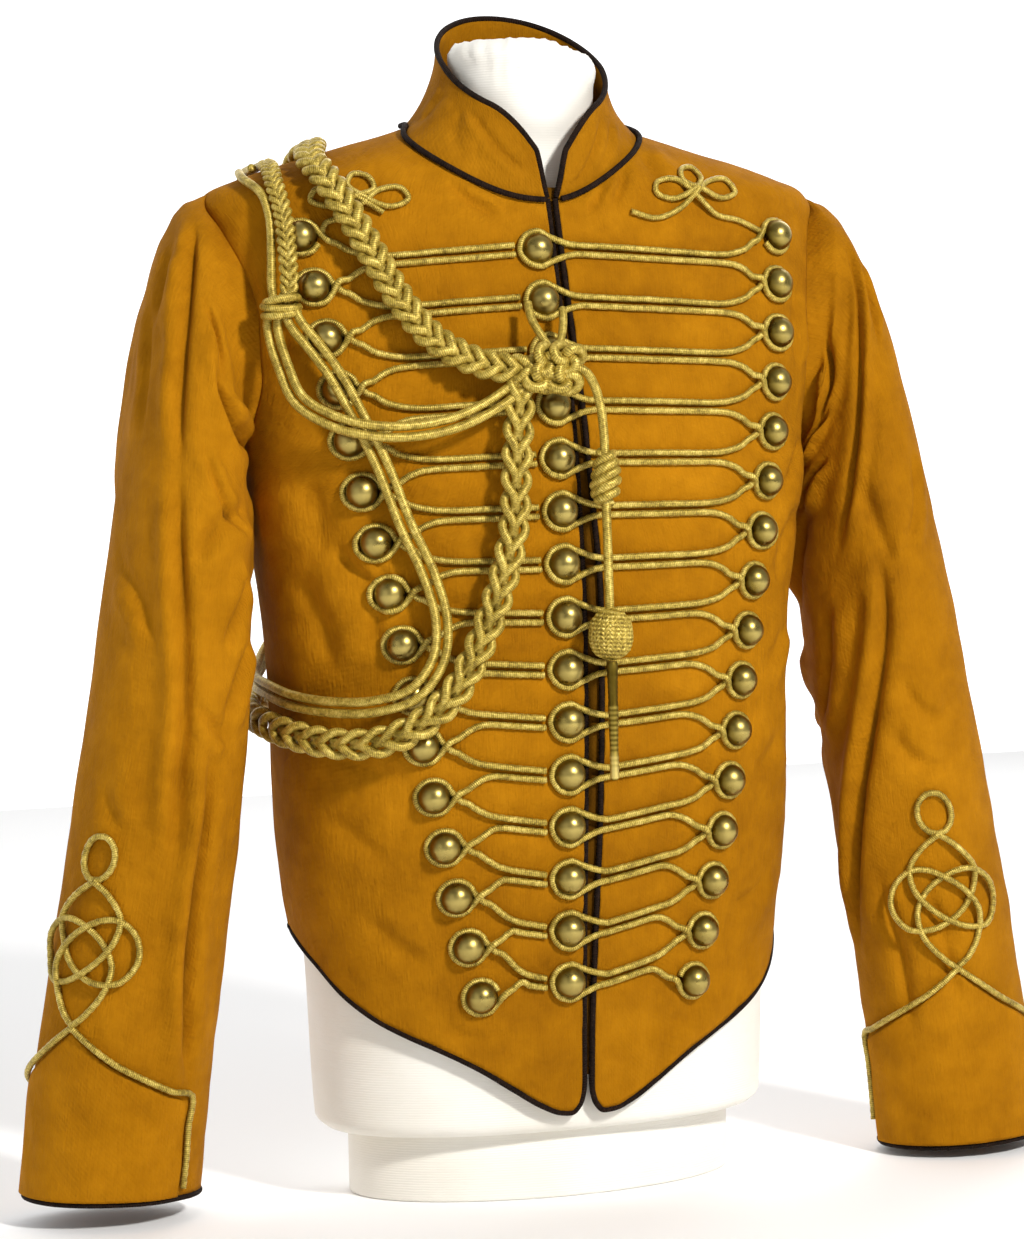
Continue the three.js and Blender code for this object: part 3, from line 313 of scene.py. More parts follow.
def pipingMaterial(name, look):
    material, tree, shader, place = startMaterial(name, {"Roughness": 0.8, "Specular IOR Level": 0.12})
    rib = windingRibs(tree, look["ribPitch"], 1)
    dust = noise(tree, place, 260.0, 3.0, 0.6)
    colour = ramp(tree, dust, [(0.3, look["dark"]), (0.7, look["light"])])
    tree.links.new(colour, shader.inputs["Base Color"])
    bumpInto(tree, shader, mixed(tree, (rib, 1), (dust, 1)), 0.6, 0.0004)
    return material


formLook = {"dark": (0.8, 0.765, 0.68), "light": (0.87, 0.85, 0.79), "rowsPerMetre": 190.0}


def formMaterial(name, look):
    material, tree, shader, place = startMaterial(name, {
        "Roughness": 0.7, "Sheen Weight": 0.2, "Sheen Roughness": 0.5, "Specular IOR Level": 0.3,
    })
    broad = noise(tree, place, 9.0, 4.0, 0.5)
    knit = addNode(tree, "ShaderNodeTexWave", {
        "Vector": place, "Scale": look["rowsPerMetre"], "Distortion": 1.2,
    }, wave_type="BANDS", bands_direction="Z")
    colour = ramp(tree, broad, [(0.35, look["dark"]), (0.65, look["light"])])
    tree.links.new(colour, shader.inputs["Base Color"])
    bumpInto(tree, shader, mixed(tree, (knit.outputs["Fac"], 1), (broad, 1)), 0.25, 0.0003)
    return material


cloth = clothMaterial("ochre_cloth", clothLook, 1.0)
# painted shade: the inside faces of the cloth are a darker copy of it, at 0.8
clothShade = clothMaterial("ochre_cloth_inside", clothLook, 0.8)
# painted shade: the underlap that shows in the opening is a copy of the cloth darkened to 0.3
underlapShade = clothMaterial("ochre_cloth_underlap", clothLook, 0.3)
# painted shade: the collar is a slightly darker copy of the cloth, at 0.86
clothCollar = clothMaterial("ochre_cloth_collar", clothLook, 0.86)
lace = cordMaterial("gold_lace", cordLook, 0.0013, 1.0, 1.0)
twist = cordMaterial("gold_twist", cordLook, 0.0012, 3.0, 0.6)
strandGold = cordMaterial("gold_strand", cordLook, 0.0011, 3.0, 0.6)
knitGold = cordMaterial("gold_knit", cordLook, 0.0026, 2.0, 1.2)
brass = brassMaterial("aged_brass", brassLook, 0.29)
ferruleBrass = brassMaterial("ferrule_brass", ferruleLook, 0.4)
piping = pipingMaterial("dark_piping", pipingLook)
formSkin = formMaterial("form_cloth", formLook)
print("materials ready")


# The figure: the same tables as the solids

def readTable(rows, column, at):
    keys = np.array([row[0] for row in rows], float)
    values = np.array([row[column] for row in rows], float)
    slopes = np.diff(values) / np.diff(keys)
    bends = np.empty(len(keys))
    bends[0], bends[-1] = slopes[0], slopes[-1]
    for k in range(1, len(keys) - 1):
        product = slopes[k - 1] * slopes[k]
        bends[k] = 0 if product <= 0 else 2 * product / (slopes[k - 1] + slopes[k])
    x = np.clip(at, keys[0], keys[-1])
    i = np.clip(np.searchsorted(keys, x, side="right") - 1, 0, len(keys) - 2)
    width = keys[i + 1] - keys[i]
    t = (x - keys[i]) / width
    rise = t * t * (3 - 2 * t)
    start = t * (1 - t) ** 2 * width * bends[i]
    end = t * t * (t - 1) * width * bends[i + 1]
    return values[i] * (1 - rise) + values[i + 1] * rise + start + end


# height, half width, depth to the front, depth to the back, middle, exponent
bodySections = [
    (45, 158, 97, 92, -12, 2.3), (75, 162, 100, 94, -12, 2.3), (137, 165, 103, 97, -12, 2.3),
    (172, 168, 105, 99, -12, 2.3), (201, 173, 107, 99, -12, 2.3), (262, 178, 111, 98, -12, 2.3),
    (330, 179, 113, 95, -12, 2.3), (380, 182, 113, 95, -12, 2.3), (446, 190, 111, 99, -11, 2.35),
    (504, 196, 107, 106, -10, 2.4), (545, 203, 100, 109, -8, 2.5), (573, 208, 95, 109, -6, 2.5),
    (606, 211, 88, 106, -4, 2.4), (640, 214, 82, 100, -1, 2.2), (653, 217, 79, 96, 0, 2.15),
    (664, 211, 76, 92, 0, 2.1), (674, 188, 72, 87, 0, 2.05), (684, 157, 67, 82, 0, 2),
    (694, 122, 60, 77, 0, 2), (708, 74, 50, 70, 0, 2), (724, 40, 35, 60, 0, 2),
]


bodyTop = bodySections[-1][0]


def bodyPoint(around, z):
    around, z = np.broadcast_arrays(np.asarray(around, float), np.asarray(z, float))
    half, front, rear, middle, full = (readTable(bodySections, c, z) for c in range(1, 6))
    side, ahead = np.sin(around), np.cos(around)
    depth = np.where(ahead > 0, front, rear)
    total = np.abs(side / half) ** full + np.abs(ahead / depth) ** full
    reach = total ** (-1 / full)
    return np.stack([reach * side, middle - reach * ahead, z], -1)


def unit(v):
    return v / np.maximum(np.linalg.norm(v, axis=-1, keepdims=True), 1e-9)


def bodyNormal(around, z):
    turn = bodyPoint(np.asarray(around) + 0.004, z) - bodyPoint(np.asarray(around) - 0.004, z)
    above, below = np.minimum(np.asarray(z) + 0.6, bodyTop), np.asarray(z) - 0.6
    climb = bodyPoint(around, above) - bodyPoint(around, below)
    return unit(np.cross(turn, climb))


def frontAngle(x, z):
    x, z = np.broadcast_arrays(np.asarray(x, float), np.asarray(z, float))
    low, high = np.full(x.shape, -1.6), np.full(x.shape, 1.6)
    for _ in range(30):
        guess = (low + high) / 2
        less = bodyPoint(guess, z)[..., 0] < x
        low, high = np.where(less, guess, low), np.where(less, high, guess)
    return (low + high) / 2


# Creases of the fronts as lines on the cloth: how wide and how deep each is, on which side the cloth
# swells beside it, and where it runs (x, z).
frontCreases = [
    (4.0, 2.6, 1, [(-158, 436), (-146, 420), (-130, 404)]),
    (3.4, 2.2, -1, [(-138, 432), (-128, 412), (-124, 396)]),
    (3.2, 2.0, 1, [(-128, 400), (-134, 384), (-136, 372)]),
    (6.0, 2.4, 1, [(-176, 420), (-166, 396), (-160, 372), (-160, 350)]),
    (6.5, 2.2, -1, [(-172, 480), (-164, 452), (-162, 430)]),
    (5.0, 1.6, 1, [(-158, 300), (-136, 288), (-112, 284)]),
    (6.0, 1.5, -1, [(-164, 262), (-142, 240), (-126, 230)]),
    (6.0, 1.4, 1, [(-146, 196), (-120, 170), (-98, 158)]),
    (5.0, 1.3, 1, [(-100, 122), (-74, 112), (-52, 118)]),
    (3.6, 2.0, 1, [(-72, 668), (-54, 652), (-36, 642)]),
    (3.0, 1.6, 1, [(-58, 676), (-42, 661), (-26, 650)]),
    (3.6, 2.2, -1, [(56, 688), (52, 668), (40, 648)]),
    (3.0, 1.8, -1, [(40, 674), (34, 658), (22, 644)]),
    (5.0, 1.6, 1, [(70, 690), (78, 672), (80, 652)]),
    (4.0, 2.2, 1, [(182, 600), (176, 570), (178, 540)]),
    (6.0, 2.4, 1, [(186, 500), (168, 470), (156, 452)]),
    (6.0, 2.0, -1, [(180, 452), (160, 428), (150, 400)]),
    (5.0, 1.6, 1, [(164, 372), (148, 350), (138, 344)]),
    (6.0, 1.5, -1, [(156, 300), (140, 282), (124, 276)]),
    (6.0, 1.5, 1, [(146, 208), (124, 190), (104, 186)]),
    (6.0, 1.3, 1, [(96, 140), (70, 118), (48, 112)]),
    (4.5, 2.4, -1, [(-176, 612), (-182, 580), (-180, 548)]),
]


def creaseSum(lines, u, v, goesRound=False):
    u, v = np.broadcast_arrays(np.asarray(u, float), np.asarray(v, float))
    depth = np.zeros(u.shape)
    for wide, deep, lean, keys in lines:
        run = smoothRun(keys, 7.0)
        lengths = np.linalg.norm(np.diff(run, axis=0), axis=1)
        total, done = lengths.sum(), 0.0
        nearest, signed, share = np.full(u.shape, 1e9), np.zeros(u.shape), np.zeros(u.shape)
        for start, end, length in zip(run[:-1], run[1:], lengths):
            stepU, stepV = end - start
            across, up = u - start[0], v - start[1]
            if goesRound:
                across = np.mod(across + 180, 360) - 180
            along = np.clip((across * stepU + up * stepV) / length**2, 0, 1)
            offU, offV = across - along * stepU, up - along * stepV
            away = np.hypot(offU, offV)
            closer = away < nearest
            nearest = np.where(closer, away, nearest)
            turn = stepU * offV - stepV * offU
            signed = np.where(closer, away * np.sign(turn), signed)
            share = np.where(closer, (done + along * length) / total, share)
            done += length
        fade = smoothstep(share, 0, 0.25) * (1 - smoothstep(share, 0.75, 1))
        dip = np.exp(-(signed / (0.85 * wide)) ** 2)
        swell = np.exp(-((signed * lean - 2.3 * wide) / (1.6 * wide)) ** 2)
        rise = np.exp(-((signed * lean + 2.4 * wide) / (2.2 * wide)) ** 2)
        depth += deep * fade * (1.15 * swell + 0.45 * rise - dip)
    return depth


def smoothstep(x, low, high):
    t = np.clip((x - low) / (high - low), 0, 1)
    return t * t * (3 - 2 * t)


# A soft, repeatable unevenness made of a few crossed waves.
def ripple(u, v, size, seed):
    rng = np.random.RandomState(seed)
    u, v = np.broadcast_arrays(u, v)
    total = np.zeros(u.shape)
    for _ in range(7):
        angle = rng.uniform(0, math.pi)
        pitch = size * rng.uniform(0.7, 1.5)
        phase = rng.uniform(0, 2 * math.pi)
        total += np.sin(2 * math.pi * (u * math.cos(angle) + v * math.sin(angle)) / pitch + phase)
    return total / 7


rowCount, firstRow, rowPitch = 15, 621, 33.85
firstOuter, outerPitch = 631, 32.7
buttonX = -15.5
outerLine = [(130, 71), (250, 98), (370, 119), (500, 146), (640, 167)]


def rowZ(row):
    return firstRow - row * rowPitch


def outerZ(button):
    return firstOuter - button * outerPitch


def outerX(button):
    return float(readTable(outerLine, 1, outerZ(button)))


# How far the cloth of a front stands off the plain figure.
def frontRelief(x, z):
    reach = readTable(outerLine, 1, z)
    inLace = np.clip((reach - 6 - np.abs(x)) / 30, 0, 1) * np.clip((640 - z) / 20, 0, 1)
    inLace = inLace * np.clip((z - 132) / 20, 0, 1)
    level = z + (rowPitch - outerPitch) * (z - firstRow) / rowPitch * (np.abs(x) / 150)
    puff = -np.cos(2 * math.pi * (level - firstRow) / rowPitch) * inLace * 1.3
    loose = 1.35 * creaseSum(frontCreases, x, z) * (1 - 0.5 * inLace)
    small = ripple(x, z * 1.6, 30, 7)
    return puff + loose + 0.8 * ripple(x, z, 46, 3) + 0.6 * small * inLace + 0.3 * ripple(x, z, 15, 5)


def frontSpots(xz, lift):
    xz = np.asarray(xz, float)
    lift = np.broadcast_to(np.asarray(lift, float), xz.shape[:1])
    around = frontAngle(xz[:, 0], xz[:, 1])
    normals = bodyNormal(around, xz[:, 1])
    more = lift + frontRelief(xz[:, 0], xz[:, 1])
    return bodyPoint(around, xz[:, 1]) + normals * more[:, None], normals


# Making meshes

def makeObject(name, verts, faces, material):
    mesh = bpy.data.meshes.new(name)
    mesh.from_pydata([tuple(v) for v in np.asarray(verts) * mm], [], faces)
    mesh.validate()
    mesh.update()
    thing = bpy.data.objects.new(name, mesh)
    bpy.context.scene.collection.objects.link(thing)
    mesh.materials.append(material)
    mesh.polygons.foreach_set("use_smooth", [True] * len(mesh.polygons))
    return thing


# Blender's own extrusion numbers the points differently from run to run; this sorts them.
def inOrder(mesh):
    spots = [tuple(round(c, 7) for c in point.co) for point in mesh.vertices]
    order = sorted(range(len(spots)), key=spots.__getitem__)
    rank = {old: new for new, old in enumerate(order)}
    points = [tuple(mesh.vertices[old].co) for old in order]
    faces = []
    for polygon in mesh.polygons:
        face = [rank[old] for old in polygon.vertices]
        first = face.index(min(face))
        faces.append(face[first:] + face[:first])
    mesh.clear_geometry()
    mesh.from_pydata(points, [], sorted(faces))
    mesh.update()


def setAttribute(thing, name, values):
    attribute = thing.data.attributes.new(name, "FLOAT", "POINT")
    attribute.data.foreach_set("value", np.asarray(values, np.float32).ravel())


def setUv(thing, name, perVertex):
    layer = thing.data.uv_layers.new(name=name)
    corners = np.empty(len(thing.data.loops), int)
    thing.data.loops.foreach_get("vertex_index", corners)
    layer.data.foreach_set("uv", np.asarray(perVertex, np.float32)[corners].ravel())


def gridNormals(points, round=False):
    if round:
        acrossStep = np.roll(points, -1, 1) - np.roll(points, 1, 1)
    else:
        acrossStep = np.gradient(points, axis=1)
    downStep = np.gradient(points, axis=0)
    return unit(np.cross(acrossStep, downStep))


# A sheet of cloth through a grid of points; its thickness goes inward.
def clothSheet(name, points, relief, outward, thickness, material, inside=None, round=False):
    normals = gridNormals(points, round) * outward
    moved = points + normals * relief[..., None]
    tall, wide = relief.shape
    if round:  # the last column repeats the first, for the cloth's own map
        moved = np.concatenate([moved, moved[:, :1]], 1)
        relief = np.concatenate([relief, relief[:, :1]], 1)
        wide += 1
    steps = np.linalg.norm(np.diff(moved, axis=1), axis=2)
    u = np.concatenate([np.zeros((tall, 1)), np.cumsum(steps, 1)], 1)
    u = np.broadcast_to(np.linspace(0, 1, wide), u.shape) * np.mean(u[:, -1])
    drops = np.linalg.norm(np.diff(moved, axis=0), axis=2)
    v = np.concatenate([np.zeros((1, wide)), np.cumsum(drops, 0)], 0)
    index = np.arange(tall * wide).reshape(tall, wide)
    a, b, c, d = index[:-1, :-1], index[:-1, 1:], index[1:, 1:], index[1:, :-1]
    order = (a, b, c, d) if outward > 0 else (a, d, c, b)
    faces = np.stack([q.ravel() for q in order], 1).tolist()
    thing = makeObject(name, moved.reshape(-1, 3), faces, material)
    setUv(thing, "cloth", np.stack([u.ravel(), v.ravel()], 1) * mm)
    # painted shade: the deeper a crease, the darker its cloth is coloured
    creaseShadeAmount = np.clip((-relief - 1.9) / 4.0, 0, 0.75)
    setAttribute(thing, "creaseShade", creaseShadeAmount)
    if round:
        weld(thing)
    solid = thing.modifiers.new("cloth", "SOLIDIFY")
    solid.thickness = thickness * mm
    solid.offset = -1
    if inside is not None:
        thing.data.materials.append(inside)
        solid.material_offset = 1
    applyModifiers(thing)
    return thing


def weld(thing):
    work = bmesh.new()
    work.from_mesh(thing.data)
    bmesh.ops.remove_doubles(work, verts=work.verts, dist=0.00002)
    work.to_mesh(thing.data)
    work.free()


def selectOnly(thing):
    bpy.ops.object.select_all(action="DESELECT")
    thing.select_set(True)
    bpy.context.view_layer.objects.active = thing


def applyModifiers(thing):
    selectOnly(thing)
    for modifier in list(thing.modifiers):
        bpy.ops.object.modifier_apply(modifier=modifier.name)


def facesOutward():
    bpy.ops.mesh.select_all(action="SELECT")
    bpy.ops.mesh.normals_make_consistent(inside=False)
    bpy.ops.object.mode_set(mode="OBJECT")


def alongLength(points):
    return np.concatenate([[0], np.cumsum(np.linalg.norm(np.diff(points, axis=0), axis=1))])


# Rings of a round section along a run of points. A laid cord has lobes, which turn along it.
def tubeRings(points, normals, radius, sides, lobes=0, pitch=8.0, deep=0.0):
    points = np.asarray(points, float)
    along = unit(np.gradient(points, axis=0))
    across = unit(np.cross(along, normals))
    up = unit(np.cross(across, along))
    length = alongLength(points)
    angle = 2 * math.pi * np.arange(sides) / sides
    swing = 1 + deep * np.cos(lobes * angle[None, :] - 2 * math.pi * length[:, None] / pitch)
    size = np.full((len(points), 1), float(radius)) * (swing if lobes else 1)
    ring = (across[:, None, :] * (np.cos(angle)[None, :] * size)[..., None]
            + up[:, None, :] * (np.sin(angle)[None, :] * size)[..., None])
    return points[:, None, :] + ring, length


# The same round a closed run, whose ends have to meet.
def closedRings(spots, normals, radius, sides):
    ahead = unit(np.roll(spots, -1, 0) - np.roll(spots, 1, 0))
    across = unit(np.cross(ahead, normals))
    up = unit(np.cross(across, ahead))
    angle = 2 * math.pi * np.arange(sides) / sides
    return spots[:, None] + radius * (
        across[:, None] * np.cos(angle)[None, :, None] + up[:, None] * np.sin(angle)[None, :, None])


def tubeParts(rings, length, closed):
    count, sides = rings.shape[:2]
    wide = sides + 1
    rings = np.concatenate([rings, rings[:, :1]], 1)
    verts = rings.reshape(-1, 3)
    uv = np.stack([np.repeat(length * mm, wide), np.tile(np.linspace(0, 1, wide), count)], 1)
    index = np.arange(count * wide).reshape(count, wide)
    below, above = (index, np.roll(index, -1, 0)) if closed else (index[:-1], index[1:])
    a, b, c, d = below[:, :-1], below[:, 1:], above[:, 1:], above[:, :-1]
    faces = np.stack([a.ravel(), b.ravel(), c.ravel(), d.ravel()], 1).tolist()
    if not closed:
        faces.append(index[0, :-1][::-1].tolist())
        faces.append(index[-1, :-1].tolist())
    return verts, uv, faces


def tubesObject(name, tubes, material):
    verts, uvs, faces, base = [], [], [], 0
    for rings, length, closed in tubes:
        v, uv, f = tubeParts(rings, length, closed)
        verts.append(v)
        uvs.append(uv)
        faces += [[i + base for i in face] for face in f]
        base += len(v)
    thing = makeObject(name, np.concatenate(verts), faces, material)
    setUv(thing, "cord", np.concatenate(uvs))
    weld(thing)
    selectOnly(thing)
    bpy.ops.object.mode_set(mode="EDIT")
    facesOutward()
    return thing


# A smooth curve through key points, with a point about every step.
def smoothRun(keys, step, closed=False):
    keys = np.asarray(keys, float)
    if closed:
        padded = np.concatenate([keys[-1:], keys, keys[:2]])
    else:
        padded = np.concatenate([2 * keys[:1] - keys[1:2], keys, 2 * keys[-1:] - keys[-2:-1]])
    run = []
    for p0, p1, p2, p3 in zip(padded[:-3], padded[1:-2], padded[2:-1], padded[3:]):
        count = max(2, int(math.ceil(np.linalg.norm(p2[:3] - p1[:3]) / step)))
        pairs = (p0, p1), (p1, p2), (p2, p3)
        knots = [max(np.linalg.norm(b[:3] - a[:3]), 1e-6) ** 0.5 for a, b in pairs]
        m1 = (p2 - p1) - knots[1] * ((p2 - p0) / (knots[0] + knots[1]) - (p1 - p0) / knots[0])
        m2 = (p2 - p1) + knots[1] * ((p3 - p2) / knots[2] - (p3 - p1) / (knots[1] + knots[2]))
        for t in np.arange(count) / count:
            run.append((2 * t**3 - 3 * t * t + 1) * p1 + (t**3 - 2 * t * t + t) * m1
                       + (3 * t * t - 2 * t**3) * p2 + (t**3 - t * t) * m2)
    if not closed:
        run.append(keys[-1])
    return np.array(run)


def finishPiece(thing, slotName, *nodes):
    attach(thing, "root")
    if nodes:
        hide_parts(*nodes)
    return thing


# Fronts, back and underlap

neckFront, neckSide, neckBack = 654, 708, 724
sideSeam, armpit, shoulder = 95 * degree, 490, 664
sideRadius = 190  # turns an angle round the side into millimetres
clothThickness = 1.8
frontHem = [
    (0, 74), (1.6, 66), (4.5, 61.5), (8, 62), (15, 67), (25, 79), (36, 94), (47, 107.5),
    (54, 115.5), (62, 126), (70, 140), (80, 161), (95, 180),
]
centreEdges = [
    (60, -6.6, 2.1), (107, -6.2, 2.6), (166, -5.9, 4.8), (260, -5, 8.6), (400, -3.6, 11.4),
    (450, -4, 9), (504, -4.6, 6.4), (640, -4.9, 3.8), (660, -4.6, 4.1),
]
armholeSwing = [
    (490, 5, 5), (497, -13, 26), (515, -37, 45), (543, -51, 55), (576, -52, 57),
    (608, -42, 49), (636, -24, 31), (655, -9, 13), (664, 0, 0),
]


def neckHeight(around):
    ahead = np.cos(around)
    # the seam lies a little lower on the wearer's right than on the left
    power = np.where(np.sin(around) < 0, 2.7, 1.7)
    front = neckFront + (neckSide - neckFront) * np.abs(np.sin(around)) ** power
    return np.where(ahead > 0, front, neckSide + (neckBack - neckSide) * ahead**2)


def hemHeight(around):
    around = np.asarray(around, float)
    side = 180 + 4 * np.sin(around - sideSeam)
    return np.where(around > sideSeam, side, readTable(frontHem, 1, around / degree))


def edgeAngle(z, face):
    z = np.asarray(z, float)
    toward, column = (-1, 1) if face == "front" else (1, 2)
    y = readTable(armholeSwing, column, z)
    half, front, rear, middle, full = (readTable(bodySections, c, z) for c in range(1, 6))
    depth = np.where(y < middle, front, rear)
    x = half * np.maximum(1 - np.abs((y - middle) / depth) ** full, 0) ** (1 / full)
    curved = np.arctan2(x, middle - y)
    around = np.where(z > shoulder + 0.1, 90 * degree, np.where(z >= armpit - 0.1, curved, sideSeam))
    return around + toward * 0.0015


def edgeLevels():
    side = np.linspace(180, armpit, 116)[:-1]
    arm = armpit + (shoulder - armpit) * (1 - np.cos(np.linspace(0, math.pi, 81))) / 2
    top = np.linspace(shoulder, neckSide, 28)[1:]
    return np.concatenate([side, arm, top])


def rowShares(levels, face):
    around = edgeAngle(levels, face)
    hem = np.where(levels < 181, levels, hemHeight(around))
    share = np.clip((levels - hem) / (neckHeight(around) - hem), 0, 1)
    share[0], share[-1] = 0, 1
    return share


# Cloth lies a little lower in the seams than beside them.
def seamDip(distance, deep=0.9, wide=3.2):
    return -deep * np.exp(-(distance / wide) ** 2)


frontSettings = {"columns": 116, "flat": (0.29, 0.66), "area": 0.135, "fade": 5.0, "seamDip": 0.25}


def makeFront(side, look):
    mirror, column = (1, 2) if side == "left" else (-1, 1)
    levels = edgeLevels()
    share = rowShares(levels, "front")
    centreZ = hemHeight(0.0) + (neckFront - hemHeight(0.0)) * share
    start = frontAngle(readTable(centreEdges, column, centreZ), centreZ) * mirror
    end = edgeAngle(levels, "front")
    s = np.linspace(0, 1, look["columns"])
    s = s - 0.03 * np.sin(2 * math.pi * s)
    around = start[:, None] + (end - start)[:, None] * s[None, :]
    hem = hemHeight(around - start[:, None] * (1 - s[None, :]))
    z = hem + (neckHeight(around * mirror) - hem) * share[:, None]
    points = bodyPoint(around * mirror, z)
    toSeam, toNeck = np.arange(look["columns"])[::-1][None, :], np.arange(len(levels))[::-1][:, None]
    relief = frontRelief(points[..., 0], z) * np.minimum(1, np.minimum(toSeam, toNeck) / look["fade"])
    relief = relief + seamDip((end[:, None] - around) * sideRadius, look["seamDip"])
    return clothSheet("front_panel_" + side, points, relief, mirror, clothThickness, cloth, clothShade)


# Creases of the back, by degrees round and height.
backCreases = [
    (5.0, 2.6, 1, [(118, 500), (128, 470), (142, 436), (150, 410)]),
    (5.0, 2.6, -1, [(242, 500), (232, 470), (218, 436), (210, 410)]),
    (4.5, 2.6, 1, [(124, 600), (130, 560), (130, 520)]),
    (4.5, 2.6, -1, [(236, 600), (230, 560), (230, 520)]),
    (6.0, 1.8, 1, [(140, 356), (160, 338), (178, 334)]),
    (6.0, 1.8, -1, [(222, 372), (206, 352), (190, 346)]),
    (6.0, 1.6, 1, [(150, 300), (168, 288), (186, 292), (204, 286)]),
    (6.0, 1.8, 1, [(110, 330), (122, 300), (130, 262)]),
    (6.0, 1.8, -1, [(250, 330), (240, 300), (232, 262)]),
    (5.0, 1.8, 1, [(160, 690), (172, 672), (190, 674), (200, 690)]),
]
backSettings = {"columns": 150, "flat": (0.45, 0.6), "area": 0.23, "fade": 5.0, "seamDip": 0.25}


def makeBack(look):
    levels = edgeLevels()
    share = rowShares(levels, "back")
    start = edgeAngle(levels, "back")
    s = np.linspace(0, 1, look["columns"])
    around = start[:, None] + (2 * math.pi - 2 * start)[:, None] * s[None, :]
    near = np.minimum(around, 2 * math.pi - around)
    hem = hemHeight(near)
    z = hem + (neckHeight(around) - hem) * share[:, None]
    points = bodyPoint(around, z)
    toSeam = np.minimum(np.arange(look["columns"]), np.arange(look["columns"])[::-1])[None, :]
    toNeck = np.arange(len(levels))[::-1][:, None]
    relief = creaseSum(backCreases, around / degree, z) + 0.6 * ripple(points[..., 0], z, 50, 11)
    relief = relief + 0.25 * ripple(points[..., 0], z, 18, 12)
    relief = relief * (np.minimum(1, toSeam / look["fade"]) * np.minimum(1, toNeck / look["fade"]))
    # a centre seam and two curved ones from the armholes to the hem
    centre = np.abs(points[..., 0])
    curve = 62 + 74 * np.clip((z - 240) / 330, 0, 1) ** 2.2
    relief = relief + seamDip(centre, 0.9, 2.0) + seamDip(centre - curve, 0.8, 2.0)
    relief = relief + seamDip((near - start[:, None]) * sideRadius, look["seamDip"])
    return clothSheet("back_panel", points, relief, 1, clothThickness, cloth, clothShade)


underlapSettings = {
    "half": 17, "middle": 3, "bottom": 84, "top": 664, "behind": 1.5, "thickness": 1.4,
    "columns": 13, "rows": 124, "flat": (0.034, 0.585),
}


def makeUnderlap(look):
    z = np.linspace(look["bottom"], look["top"], look["rows"])[:, None]
    x = look["middle"] + look["half"] * np.linspace(-1, 1, look["columns"])[None, :]
    x, z = np.broadcast_arrays(x, z)
    around = frontAngle(x, z)
    points = bodyPoint(around, z) - bodyNormal(around, z) * (clothThickness + look["behind"])
    relief = 0.25 * ripple(x, z, 40, 9)
    # its cloth is the darkened copy, a painted shade in the opening
    return clothSheet("underlap_strip", points, relief, 1, look["thickness"], underlapShade)


for side in ("right", "left"):
    panel = finishPiece(makeFront(side, frontSettings), "ochre_cloth", "front_" + side)
backPanel = finishPiece(makeBack(backSettings), "ochre_cloth", "back")
underlap = finishPiece(makeUnderlap(underlapSettings), "ochre_cloth", "underlap")
print("body panels ready")


# Sleeves

# ring, outer side x and z, inner side x and z, middle front to back, half depth
sleeveRings = [
    (0, 211.5, 664, 196.5, 490, 3, 54), (1, 226, 657, 197.5, 484, 1, 59),
    (2, 241, 636, 199, 473, -3, 63), (3, 257, 592, 199, 452, -11, 66),
    (4, 271, 524, 199, 417, -19, 67), (5, 283, 455, 200, 381, -26, 66),
    (6, 296, 385, 202, 338, -30, 64), (7, 308, 314, 207, 288, -33, 59),
    (8, 321, 244, 213, 230, -32, 55), (9, 333, 180, 221, 171, -31, 51),
    (10, 342, 124, 228, 118, -29, 49), (11, 350, 70, 234, 66, -27, 47),
    (12, 356, 17, 239, 13, -25, 46),
]
arms = {
    "right": {"mirror": -1, "swing": 12, "drop": 4, "face": 40, "seed": 21},
    "left": {"mirror": 1, "swing": -26, "drop": -4, "face": 100, "seed": 34},
}
